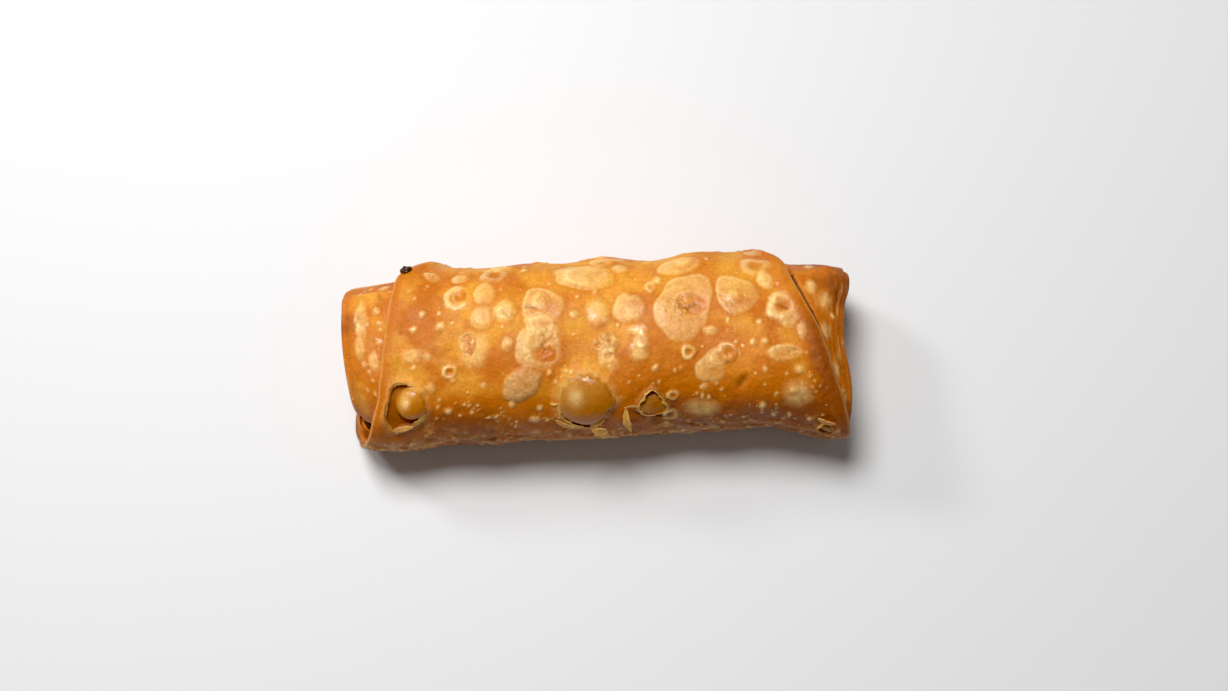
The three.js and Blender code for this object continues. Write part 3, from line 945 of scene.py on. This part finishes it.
def shell_strip(x, girth, out, thickness, edge):
    """A thin shell's cross-sections, its upper side there and its lower side back, and their edges."""
    upper = WRAP_SKIN.point(x, girth, out + thickness / 2)
    lower = WRAP_SKIN.point(x, girth, out - thickness / 2)
    points = np.concatenate([upper, lower[:, ::-1]], axis=1)
    edge = np.broadcast_to(edge, x.shape)
    return points.reshape(-1, 3), np.concatenate([edge, edge[:, ::-1]], axis=1).ravel()


def lip(b):
    """The torn shell that still stands over the edge of a burst blister."""
    way = np.linspace(0, 2 * np.pi, LIP_ROUND, endpoint=False)[:, None]
    places = b.places_round(way)
    reach = 0.05 + 0.7 * smooth(noise(places, 3.4, 51) + 0.5 * noise(places, 1.1, 52), 0.1, 0.9)
    lift = 0.05 + 0.3 * noise(places, 3, 53)
    torn = b.torn_edge(way)
    # From under the collar's skin to the free edge.
    share = np.linspace(0, 1, LIP_ACROSS)
    q = torn * mix(1.1, 1, share) - share * reach / b.half_x
    out = burst_collar(q / torn) + share**2 * lift - 0.15 * (1 - share)
    x = b.x + q * np.cos(way) * b.half_x
    girth = b.girth + q * np.sin(way) * b.half_girth
    points, edge = shell_strip(x, girth, out, SHELL * mix(1, 0.6, share), share**8)
    return points, [grid_faces(LIP_ROUND + 1, 2 * LIP_ACROSS) % len(points)], edge


# Flakes of broken shell: ribbons through places in the view, each (right, up, height over the skin,
# width, and how much higher its left edge stands than its right).
FLAKES = [
    [
        (-0.9, -18.3, 0.4, 1.0, 0), (-3.6, -20.7, 0.9, 2.0, 0.4), (-5.6, -22.4, 1.2, 2.2, 0.6),
        (-6.5, -23.5, 1.0, 0.9, 0.2),
    ],
    [
        (-6.6, -23.4, 1.1, 0.6, 0), (-4.9, -24.0, 1.9, 2.4, -0.5), (-3.0, -23.6, 2.4, 3.2, -0.4),
        (-2.2, -23.3, 2.4, 1.8, 0),
    ],
    [
        (3.6, -18.6, 0.4, 0.6, 0), (3.4, -20.6, 1.2, 2.0, 0.4), (4.0, -22.6, 1.6, 2.5, 0.8),
        (5.0, -24.6, 1.4, 0.5, 0.6),
    ],
    [(2.9, -18.2, 0.6, 0.5, 0), (5.0, -17.9, 0.8, 1.0, 0.4), (7.6, -17.9, 0.7, 0.6, 0.2)],
    [(-66.6, -12.9, 0.7, 0.5, 0.3), (-64.4, -11.2, 1.1, 1.0, 0.5), (-61.4, -11.6, 0.9, 0.5, 0.3)],
    [(-65.8, -25.0, 0.5, 0.8, 0), (-63.2, -24.4, 0.9, 1.5, -0.4), (-60.0, -23.9, 0.8, 0.7, -0.2)],
    [(-59.9, -23.2, 0.8, 0.8, 0.2), (-58.1, -21.9, 1.1, 1.5, 0.5), (-56.3, -20.0, 0.8, 0.5, 0.2)],
    [(-68.2, -22.2, 0.5, 0.5, 0), (-68.2, -18.6, 0.7, 0.9, 0.3), (-67.2, -15.4, 0.6, 0.5, 0)],
    [(-16.4, -17.0, 0.7, 0.4, 0), (-18.2, -17.4, 0.6, 0.7, 0.3), (-19.2, -17.0, 0.4, 0.3, 0)],
    [(-17.4, -22.0, 0.5, 0.6, 0), (-15.0, -23.2, 0.8, 1.6, 0.3), (-12.0, -24.0, 0.7, 0.8, 0)],
    [
        (61.0, -21.6, 0.3, 0.8, 0), (62.6, -22.0, 1.0, 2.2, 0.5), (64.6, -22.6, 1.1, 2.0, 0.3),
        (66, -23.2, 0.7, 0.7, 0),
    ],
]
FLAKE_STEPS = 26
FLAKE_ACROSS = 7


def flake(stations, seed):
    """A thin curled scrap of shell with a ragged outline."""
    share = np.linspace(0, 1, FLAKE_STEPS)
    knots = np.linspace(0, 1, len(stations))
    tracks = np.array([(*WRAP_SKIN.place(right, up)[:2], *rest) for right, up, *rest in stations]).T
    x, girth, out, width, lean = (through(spread(knots, track), share)[:, None] for track in tracks)
    heading = np.arctan2(np.gradient(girth, axis=0), np.gradient(x, axis=0))
    line = spread(6 * share, 0, 7.7 * seed)
    half = width / 2 * (1 + 0.3 * noise(line, 0.8, 61) + 0.2 * noise(line, 0.35, 63))[:, None]
    across = np.linspace(-1, 1, FLAKE_ACROSS)
    side = across * half
    x = x - side * np.sin(heading)
    girth = girth + side * np.cos(heading)
    out = out + 0.5 * lean * side / np.maximum(half, 0.1) + 0.12 * side**2
    points, edge = shell_strip(x, girth, out, SHELL, np.abs(across) ** 4)
    return points, ribbon_faces(FLAKE_STEPS, FLAKE_ACROSS), edge


def shell_flakes(blisters, material):
    """All the broken shell, as one piece."""
    scraps = [lip(b) for b in blisters if b.kind == "burst"]
    scraps += [flake(row, seed) for seed, row in enumerate(FLAKES)]
    points, faces = joined([scrap[:2] for scrap in scraps])
    edge = np.concatenate([scrap[2] for scrap in scraps])
    tones = {name: np.zeros(len(points)) for name in TONES}
    tones.update(edge=edge, pale=0.3 + 0.35 * edge, brown=np.full(len(points), 0.2))
    return new_piece("shell_flakes", points, faces, tones, material, None)


# Where the ends' dough was folded in: two places in the view, and how far the side below stands out.
FOLDS = [((51.5, 20.6), (70.5, 21.2), 0.9), ((-79, 14.6), (-63, 16.8), 0.7)]
FOLD_REACH = 9  # mm over which a fold's step fades away again

INNER_COLUMNS = 300
END_STEP, MIDDLE_STEP = 0.5, 1.1
END_LENGTH = 20
FOLD_RINGS = 8
FACE_RINGS = 26


def end_at(end, y):
    return -through(LEFT_END, y) if end < 0 else through(RIGHT_END, y)


def ring_angles(count):
    return -90 + 360 * np.arange(count) / count


def swirl_groove(share, end, angles):
    """From 0 to 1: the grooves between the layers wound up in an end face."""
    return np.cos(np.pi * (share * SWIRL_TURNS + end * angles / 360)) ** 2


def roll_ring(x, end, angles, inset, out, depth=0, shrink=0, share=0, swirl_depth=0):
    """One ring round the inner roll or its filling; share is how far across the end face it lies."""
    outline = inner_outline(np.full(angles.shape, float(x)))
    y, z = skin_point(outline, angles, lumps(x, angles) + out - shrink - inset)
    y = mix(y, (outline["back"] - outline["front"]) / 2, share)
    z = mix(z, (outline["top"] + outline["bottom"]) / 2, share)
    skew = (end_at(end, y) - end * HALF_LENGTH) * smooth(abs(x) / HALF_LENGTH, 0.75, 1)
    crease = swirl_depth * swirl_groove(share, end, angles) if share > 0 else 0
    return spread(x + skew - end * (depth + crease + END_DISH * share), y, z)


def end_rings(x, end, angles, inset, out, fold_radius, swirl_depth=0):
    """An end's rings round its rounded edge and over its face, and how far across the face each lies."""
    for k in range(1, FOLD_RINGS + 1):
        turn = math.pi / 2 * k / FOLD_RINGS
        depth, shrink = fold_radius * (1 - math.sin(turn)), fold_radius * (1 - math.cos(turn))
        yield roll_ring(x, end, angles, inset, out, depth, shrink), 0
    for k in range(1, FACE_RINGS):
        share = k / FACE_RINGS
        flat = out * fall(share, 0, 0.3)
        yield roll_ring(x, end, angles, inset, flat, 0, fold_radius, share, swirl_depth), share


def closed_roll(rings):
    """Points and faces of rings along the roll, with a point that closes each end."""
    rings = np.array(rings)
    faces = [part[:, ::-1] for part in capped_faces(*rings.shape[:2])]
    return np.concatenate([rings.reshape(-1, 3), rings[[0, -1]].mean(axis=1)]), faces


def inner_brown(x, girth):
    at = spread(x, girth, 0)
    patches = 0.5 * smooth(noise(at, 12, 23) + 0.5 * noise(at, 6, 24), -0.1, 0.9)
    tips = 0.35 * smooth(np.abs(x), 68, 74) + 0.35 * smooth(x, 50, 62)
    under = 0.35 * fall(girth, -12, 0) + 0.4 * smooth(girth, 74, 88)
    return np.clip(patches + tips + under, 0, 1)


def add_fold_steps(paint):
    """Creases where the ends' dough was folded in: a step across each end's upper side."""
    for start, end, high in FOLDS:
        along, above, length = line_between(INNER_SKIN, start, end, paint)
        near = smooth(along, -6, 0) * fall(along, length, length + 6)
        paint.add("rise", high * near * smooth(-above, -0.5, 0.5) * fall(-above, 1.5, FOLD_REACH))
        browner = near * smooth(above, 0.2, 1.5) * fall(above, 5, 12)
        paint.most("brown", 0.55 * browner)
        paint.fade("pale", 1 - 0.3 * browner)
        # A dark line along the crease: painted shade.
        paint.most("dark", 0.35 * near * ridge(above, 0.7))


def add_end_flakiness(paint, points):
    """Flaky streaks that run round the right end."""
    x, girth = paint.at("x"), paint.at("girth")
    along = spread(x / 0.8, girth / 5, 0) + 0.4 * noise(points, 5, 83)[..., None]
    streaks = noise(along, 1, 81) + 0.5 * noise(along, 0.5, 82)
    near = smooth(x, 60, 69) * smooth(girth, 8, 20) * fall(girth, 60, 70)
    near = near * smooth(noise(points, 6, 84), -0.5, 0.4)
    paint.add("rise", 0.2 * near * streaks)
    paint.most("pale", 0.45 * near * smooth(streaks, 0.2, 0.8))
    # Darker in the streaks' grooves: painted shade.
    paint.most("dark", 0.3 * near * smooth(-streaks, 0.4, 0.9))


def add_edge_gap(paint):
    """The dark gap where the outer layer's right edge stands off the roll, on its upper side: painted
    shade.
    """
    girth = paint.at("girth")
    line = spread(girth, 0, 0)
    middle = through(RIGHT_EDGE, angle_at(girth)) + GAP_OFFSET + 0.3 * noise(line, 3, 74)
    width = 0.5 + 0.25 * noise(line, 1.5, 75)
    gap = ridge(paint.at("x") - middle, width) * smooth(girth, 36, 42) * fall(girth, 60, 66)
    paint.add("rise", -1.3 * gap)
    paint.most("dark", np.minimum(1.3 * gap, 1))
    paint.fade("pale", 1 - gap)


def inner_fields(blisters, x, girth, angles):
    """The relief and colours of the inner roll's skin."""
    paint = Paint(blister_fields(blisters, x, girth))
    paint.put("brown", inner_brown(x, girth))
    base = spread(x, *skin_point(inner_outline(x), angles, 0))
    add_skin_grain(paint, base)
    add_fold_steps(paint)
    add_cracks(INNER_SKIN, END_CRACKS, paint)
    add_end_flakiness(paint, base)
    add_edge_gap(paint)
    return paint.fields


def inner_stations():
    """Where the inner roll's rings lie: close together near its ends."""
    straight = HALF_LENGTH - FOLD_RADIUS
    bare = straight - END_LENGTH
    middle = np.linspace(-bare, bare, round(2 * bare / MIDDLE_STEP), endpoint=False)
    ends = np.arange(0, END_LENGTH, END_STEP)
    return np.concatenate([-straight + ends, middle, bare + ends, [straight]])


def inner_end(end, angles, rise, tones):
    """The rings of one of the inner roll's ends and their colours, from those of its last ring."""
    rings, ring_tones = [], []
    cap = end_rings(end * HALF_LENGTH, end, angles, 0, rise, FOLD_RADIUS, SWIRL_DEPTH)
    for k, (ring, share) in enumerate(cap, 1):
        if share == 0:
            kept = fall(k / FOLD_RINGS, 0.1, 0.8)
            tone = {name: value * kept for name, value in tones.items()}
            tone["brown"] = tones["brown"]
            tone["pale"] = 0.35 * (1 - kept) * smooth(noise(ring, 4, 37), -0.1, 0.6)
        else:
            ring[:, 0] += end * (0.25 * noise(ring, 4, 31) + 0.12 * noise(ring, 1.6, 32))
            groove = swirl_groove(share, end, angles)
            mottle = smooth(noise(ring, 7, 34) + 0.5 * noise(ring, 2.5, 35), -0.5, 0.7)
            tone = {name: np.zeros(len(angles)) for name in tones}
            tone["dark"] = 0.3 * smooth(groove, 0.9, 1) * mottle
            tone["brown"] = 0.15 + 0.4 * mottle + 0.3 * smooth(groove, 0.6, 1) * (1 - mottle)
            tone["pale"] = 0.7 * smooth(noise(ring, 4, 33) + 0.6 * noise(ring, 1.3, 36), 0.15, 0.7)
        rings.append(ring)
        ring_tones.append(tone)
    return rings, ring_tones


def inner_roll(blisters, material):
    """The roll inside the last layer, with its folded-in ends."""
    angles, stations = ring_angles(INNER_COLUMNS), inner_stations()
    x, girth = np.meshgrid(stations, girth_at(angles), indexing="ij")
    fields = inner_fields(blisters, x, girth, angles)
    rings, tones = {}, {}
    for end, row in ((-1, 0), (1, -1)):
        last = {name: fields[name][row] for name in TONES}
        rings[end], tones[end] = inner_end(end, angles, fields["rise"][row], last)
    body = [roll_ring(at, np.sign(at) or 1, angles, 0, rise) for at, rise in zip(stations, fields["rise"])]
    points, faces = closed_roll(rings[-1][::-1] + body + rings[1])
    values = {}
    for name in TONES:
        left, right = ([tone[name] for tone in tones[end]] for end in (-1, 1))
        values[name] = np.concatenate([*left[::-1], *fields[name], *right, [0.3, 0.3]])
    return new_piece("inner_roll", points, faces, values, material, "wrapper")


# Lumps of the filling that show in the pocket at the front left and in the right end.
POCKET_FILLING = {"at": (-66, -21, 15), "radii": (4.5, 4.8, 4.3)}
END_FILLING = {"at": (68, -9.3, 23), "radii": (7.8, 2, 2.6)}
FILLING_COLUMNS = 150
FILLING_STEP = 1.4
LUMP_SIDES = 72


def ball_points(up, around):
    """Points of a ball of radius 1, by the angles up its side and round it."""
    u, a = np.meshgrid(up, around, indexing="ij")
    return spread(np.cos(u) * np.cos(a), np.cos(u) * np.sin(a), np.sin(u))


def lump(at, radii):
    """An uneven ball of shreds."""
    around = 2 * np.pi * np.arange(LUMP_SIDES) / LUMP_SIDES
    up = np.pi * (np.arange(1, LUMP_SIDES // 2) / (LUMP_SIDES // 2) - 0.5)
    ball = np.concatenate([ball_points(up, around).reshape(-1, 3), [(0, 0, -1), (0, 0, 1)]])
    points = np.array(at) + ball * radii
    shreds = 0.35 * noise(points * (0.6, 1.6, 1.2), 1.4, 91) + 0.2 * noise(points, 0.7, 92)
    return points + ball * shreds[:, None], capped_faces(len(up), LUMP_SIDES)


def filling(material):
    """The cooked filling: a core through the roll, and lumps where it shows."""
    angles = ring_angles(FILLING_COLUMNS)
    reach = HALF_LENGTH - FILLING_SHORTER
    straight = reach - FILLING_FOLD_RADIUS
    stations = np.linspace(-straight, straight, round(2 * straight / FILLING_STEP))
    body = [roll_ring(x, np.sign(x) or 1, angles, FILLING_DEPTH, 0) for x in stations]
    ends = {}
    for end in (-1, 1):
        cap = end_rings(end * reach, end, angles, FILLING_DEPTH, 0, FILLING_FOLD_RADIUS)
        ends[end] = [ring for ring, _ in cap]
    rings = np.array(ends[-1][::-1] + body + ends[1])
    rings = rings + 0.25 * noise(rings, 2.2, 93)[..., None] * np.array([0, 1, 1])
    points, faces = joined([closed_roll(rings), lump(**POCKET_FILLING), lump(**END_FILLING)])
    return new_piece("filling_shreds", points, faces, {}, material, "filling")


# Its turns round and up are in degrees, the first seen from above.
POCKET_FOLD = {
    "at": (-66, -20.5, 12.5), "radii": (5.9, 6.4, 9.5), "thick": 1.6, "around": (118, 272), "up": (-62, 42),
}
FOLD_SIDES = 40


def pocket_fold(material):
    """The fold of dough that wraps the filling at the left of the pocket."""
    up = np.radians(np.linspace(*POCKET_FOLD["up"], FOLD_SIDES))
    around = np.radians(np.linspace(*POCKET_FOLD["around"], FOLD_SIDES))
    ball = ball_points(up, around)
    wavy = (0.5 * noise(ball * 5, 2.6, 95) + 0.15 * noise(ball * 5, 0.8, 96))[..., None]
    at, radii = np.array(POCKET_FOLD["at"]), np.array(POCKET_FOLD["radii"])
    outer, inner = (at + ball * (radii + out + wavy) for out in (0, -POCKET_FOLD["thick"]))
    loops = np.concatenate([outer, inner[:, ::-1]], axis=1)
    tones = {"brown": 0.55 + 0.4 * noise(loops, 5, 98), "amber": np.full(loops.shape[:2], 0.2)}
    faces = ribbon_faces(FOLD_SIDES, FOLD_SIDES)
    return new_piece("pocket_fold", loops.reshape(-1, 3), faces, tones, material, None)


CRUMB = {"at": (-62.2, 21.8), "size": (1.9, 1.3, 1.4), "lift": 0.6}


def crumb(material):
    """A dark crumb stuck to the back left corner of the outer layer."""
    x, girth, _ = WRAP_SKIN.place(*CRUMB["at"])
    middle = WRAP_SKIN.point(np.array(x), np.array(girth), CRUMB["lift"])
    points, faces = lump(middle, CRUMB["size"])
    points = points + 0.4 * noise(points, 0.9, 94)[:, None] + 0.2 * noise(points, 0.5, 97)[:, None]
    return new_piece("crumb", points, faces, {}, material, None)


class Look:
    """A new material, with short ways to add and join its nodes."""

    def __init__(self, name):
        self.material = bpy.data.materials.new(name)
        self.material.use_nodes = True
        self.tree = self.material.node_tree
        self.shader = self.tree.nodes["Principled BSDF"]

    def feed(self, node, inputs):
        """Gives a node its inputs, each a constant or another node's output."""
        for key, value in inputs.items():
            socket = next(s for k, s in enumerate(node.inputs) if key in (k, s.name) and s.enabled)
            if isinstance(value, bpy.types.NodeSocket):
                self.tree.links.new(value, socket)
            else:
                socket.default_value = value

    def node(self, kind, inputs=None, **settings):
        made = self.tree.nodes.new("ShaderNode" + kind)
        for key, value in settings.items():
            setattr(made, key, value)
        self.feed(made, inputs or {})
        return made

    @property
    def place(self):
        """Places on the piece, in metres."""
        return (self.tree.nodes.get("place") or self.node("TexCoord", name="place")).outputs["Object"]

    def texture(self, size, detail=3, roughness=0.55):
        scale = 1 / (size * MM)
        inputs = {"Vector": self.place, "Scale": scale, "Detail": detail, "Roughness": roughness}
        return self.node("TexNoise", inputs).outputs["Fac"]

    def attribute(self, name):
        return self.node("Attribute", attribute_name=name).outputs["Fac"]

    def remap(self, value, low, high, to_low=0, to_high=1):
        inputs = {"Value": value, "From Min": low, "From Max": high, "To Min": to_low, "To Max": to_high}
        return self.node("MapRange", inputs, interpolation_type="SMOOTHSTEP").outputs["Result"]

    def maths(self, operation, a, b):
        return self.node("Math", {0: a, 1: b}, operation=operation).outputs["Value"]

    def times(self, a, b):
        return self.maths("MULTIPLY", a, b)

    def blend(self, share, under, over):
        inputs = {"Factor": share}
        for key, colour in (("A", under), ("B", over)):
            inputs[key] = srgb(colour) if isinstance(colour, tuple) else colour
        made = self.node("Mix", inputs, data_type="RGBA")
        return next(s for s in made.outputs if s.enabled)


def filling_material(name):
    """Moist cooked shreds, mostly dark brown, with lighter and greenish bits."""
    look = Look(name)
    bits = look.node("TexVoronoi", {"Vector": look.place, "Scale": 1 / (1.6 * MM)})
    parts = look.node("SeparateColor", {"Color": bits.outputs["Color"]})
    ramp = look.node("ValToRGB", {"Fac": parts.outputs["Red"]})
    ramp.color_ramp.interpolation = "CONSTANT"
    ramp.color_ramp.elements[0].color = srgb(FILLING_BROWN)
    for at, colour in ((0.55, FILLING_GREEN), (0.72, FILLING_BROWN), (0.88, FILLING_LIGHT)):
        ramp.color_ramp.elements.new(at).color = srgb(colour)
    ramp.color_ramp.elements[-1].color = srgb(FILLING_LIGHT)
    bump = look.node("Bump", {"Strength": 0.8, "Distance": 0.3 * MM, "Height": bits.outputs["Distance"]})
    look.feed(look.shader, {
        "Base Color": ramp.outputs["Color"],
        "Roughness": 0.35,
        "Subsurface Weight": 0.1,
        "Subsurface Scale": 1 * MM,
        "Normal": bump.outputs["Normal"],
    })
    return look.material


def tiny_bubbles(look):
    """From 0 to 1: bubbles too small for the mesh, in some cells of a pattern."""
    cells = look.node("TexVoronoi", {"Vector": look.place, "Scale": 1 / (2.6 * MM)})
    parts = look.node("SeparateColor", {"Color": cells.outputs["Color"]})
    chosen = look.remap(parts.outputs["Red"], 0.55, 0.7)
    size = look.maths("ADD", look.times(parts.outputs["Green"], 0.22), 0.06)
    near = look.maths("SUBTRACT", 1, look.maths("DIVIDE", cells.outputs["Distance"], size))
    return look.times(chosen, look.remap(near, 0, 0.7))


def dough_material(name):
    """Fried dough: golden to brown, paler where it blistered, waxy and lightly oily."""
    look = Look(name)
    attribute, texture = look.attribute, look.texture
    blend, remap, times = look.blend, look.remap, look.times
    broad, middle, fine = texture(14, 3), texture(3.2, 4, 0.6), texture(0.9, 3, 0.65)
    crumbs, dots = texture(1.5, 3, 0.6), tiny_bubbles(look)
    rough, gloss = attribute("rough"), attribute("gloss")
    colour = blend(remap(broad, 0.4, 0.64), GOLDEN, AMBER)
    colour = blend(times(remap(texture(8, 4, 0.6), 0.48, 0.66), 0.5), colour, ROSY)
    brown = times(attribute("brown"), remap(middle, 0.25, 0.6, 0.75, 1.1))
    colour = blend(remap(brown, 0, 0.55), colour, AMBER)
    colour = blend(remap(brown, 0.4, 1.15), colour, BROWN)
    paler = times(attribute("pale"), remap(texture(2.2, 4, 0.65), 0.3, 0.65, 1.05, 0.6))
    colour = blend(look.maths("MAXIMUM", paler, times(dots, 0.45)), colour, PALE)
    colour = blend(times(attribute("tan"), 0.8), colour, TAN)
    inner = blend(remap(texture(9, 2), 0.4, 0.75, 0, 0.5), OLIVE, AMBER)
    colour = blend(times(attribute("olive"), 0.8), colour, inner)
    colour = blend(attribute("amber"), colour, AMBER)
    colour = blend(attribute("murky"), colour, MURKY)
    colour = blend(times(rough, remap(crumbs, 0.48, 0.66, 0, 0.8)), colour, PALE)
    # Murkier where the crumbs lie low: painted shade in their hollows.
    colour = blend(times(rough, remap(crumbs, 0.46, 0.32, 0, 0.4)), colour, MURKY)
    # Dark: mostly painted shade, in gaps, cracks, hollows, pits and under rims.
    colour = blend(attribute("dark"), colour, DARK)
    # Edge: paler along the free edges of flakes and lips, and a painted highlight along the outer layer's
    # rims.
    colour = blend(times(attribute("edge"), 0.3), colour, PALE)
    speckle = look.node("HueSaturation", {"Value": remap(fine, 0.3, 0.7, 0.87, 1.09), "Color": colour})

    height = fine
    for more in (times(texture(2.4, 6, 0.65), 1.8), times(dots, 1.2), times(times(rough, crumbs), 5)):
        height = look.maths("ADD", height, more)
    strength = look.maths("SUBTRACT", 0.65, times(gloss, 0.4))
    bump = look.node("Bump", {"Strength": strength, "Distance": 0.25 * MM, "Height": height})
    oil = remap(texture(6, 2), 0.35, 0.65, 0.5, 0.68)
    look.feed(look.shader, {
        "Base Color": speckle.outputs["Color"],
        "Roughness": look.maths("SUBTRACT", oil, times(gloss, 0.4)),
        "Specular IOR Level": 0.38,
        "Subsurface Weight": 0.3,
        "Subsurface Radius": (1, 0.42, 0.1),
        "Subsurface Scale": 1.4 * MM,
        "Normal": bump.outputs["Normal"],
    })
    return look.material


def floor_material():
    """A plain pale surface, very slightly uneven."""
    look = Look("pale_surface")
    cloud = look.node("TexNoise", {"Scale": 3})
    ramp = look.node("ValToRGB", {"Fac": cloud.outputs["Fac"]})
    for element, colour in zip(ramp.color_ramp.elements, FLOOR_COLOURS):
        element.color = srgb(colour)
    look.feed(look.shader, {"Base Color": ramp.outputs["Color"], "Roughness": 0.5})
    return look.material


def add_floor():
    mesh = bpy.data.meshes.new("floor")
    corners = [(x * FLOOR_HALF, y * FLOOR_HALF, 0) for x, y in ((-1, -1), (1, -1), (1, 1), (-1, 1))]
    mesh.from_pydata(corners, [], [(0, 1, 2, 3)])
    mesh.materials.append(floor_material())
    floor = add_object("floor", mesh)


def add_camera():
    data = bpy.data.cameras.new("camera")
    data.sensor_width = SENSOR
    data.lens = SENSOR * DISTANCE / WIDTH_SEEN
    camera = add_object("camera", data)
    camera.location = (np.array(AIM) + BACKWARD * DISTANCE) * MM
    camera.rotation_euler = (math.radians(90 - ELEVATION), 0, 0)
    bpy.context.scene.camera = camera


def add_light(name, place, size, power, colour):
    """A soft area light that faces the roll."""
    data = bpy.data.lights.new(name, "AREA")
    data.shape = "DISK"
    data.size = size
    data.energy = power
    data.color = colour
    light = add_object(name, data)
    light.location = place
    light.rotation_mode = "QUATERNION"
    light.rotation_quaternion = (Vector(LIGHT_AIM) - Vector(place)).to_track_quat("-Z", "Y")


def add_lights():
    for name, light in LIGHTS.items():
        add_light(name, **light)
    world = bpy.data.worlds.new("studio")
    world.use_nodes = True
    background = world.node_tree.nodes["Background"]
    background.inputs["Color"].default_value = (*WORLD["colour"], 1)
    background.inputs["Strength"].default_value = WORLD["strength"]
    bpy.context.scene.world = world


def set_view_colours():
    """Plain colours, with the blacks a little deeper, as the picture has them."""
    view = bpy.context.scene.view_settings
    view.view_transform = "Standard"
    view.use_curve_mapping = True
    view.curve_mapping.black_level = (BLACK_LEVEL, BLACK_LEVEL, BLACK_LEVEL)
    view.curve_mapping.update()


add_camera()
dough = dough_material("fried_dough")
rng = np.random.default_rng(SEED)
wrap_blisters = shown_blisters(WRAP_SKIN, BLISTERS) + burst_blisters(WRAP_SKIN, BURSTS)
wrap_blisters += bead_blisters(rng, WRAP_SKIN, BEADS)
wrap_blisters += scattered_blisters(rng, *SCATTERED["top"], SMALL_KINDS, wrap_blisters)
wrap_blisters += scattered_blisters(rng, *SCATTERED["back"], (*SMALL_KINDS, "ring"))
wrap_blisters += scattered_blisters(rng, *SCATTERED["under"], SMALL_KINDS, wrap_blisters)
end_blisters = shown_blisters(INNER_SKIN, END_BLISTERS)
end_blisters += scattered_blisters(rng, *SCATTERED["inner roll"], SMALL_KINDS, end_blisters)
outer_layer(wrap_blisters, dough)
shell_flakes(wrap_blisters, dough)
inner_roll(end_blisters, dough)
cooked = filling_material("cooked_filling")
filling(cooked)
pocket_fold(dough)
crumb(cooked)
add_floor()
add_lights()
set_view_colours()
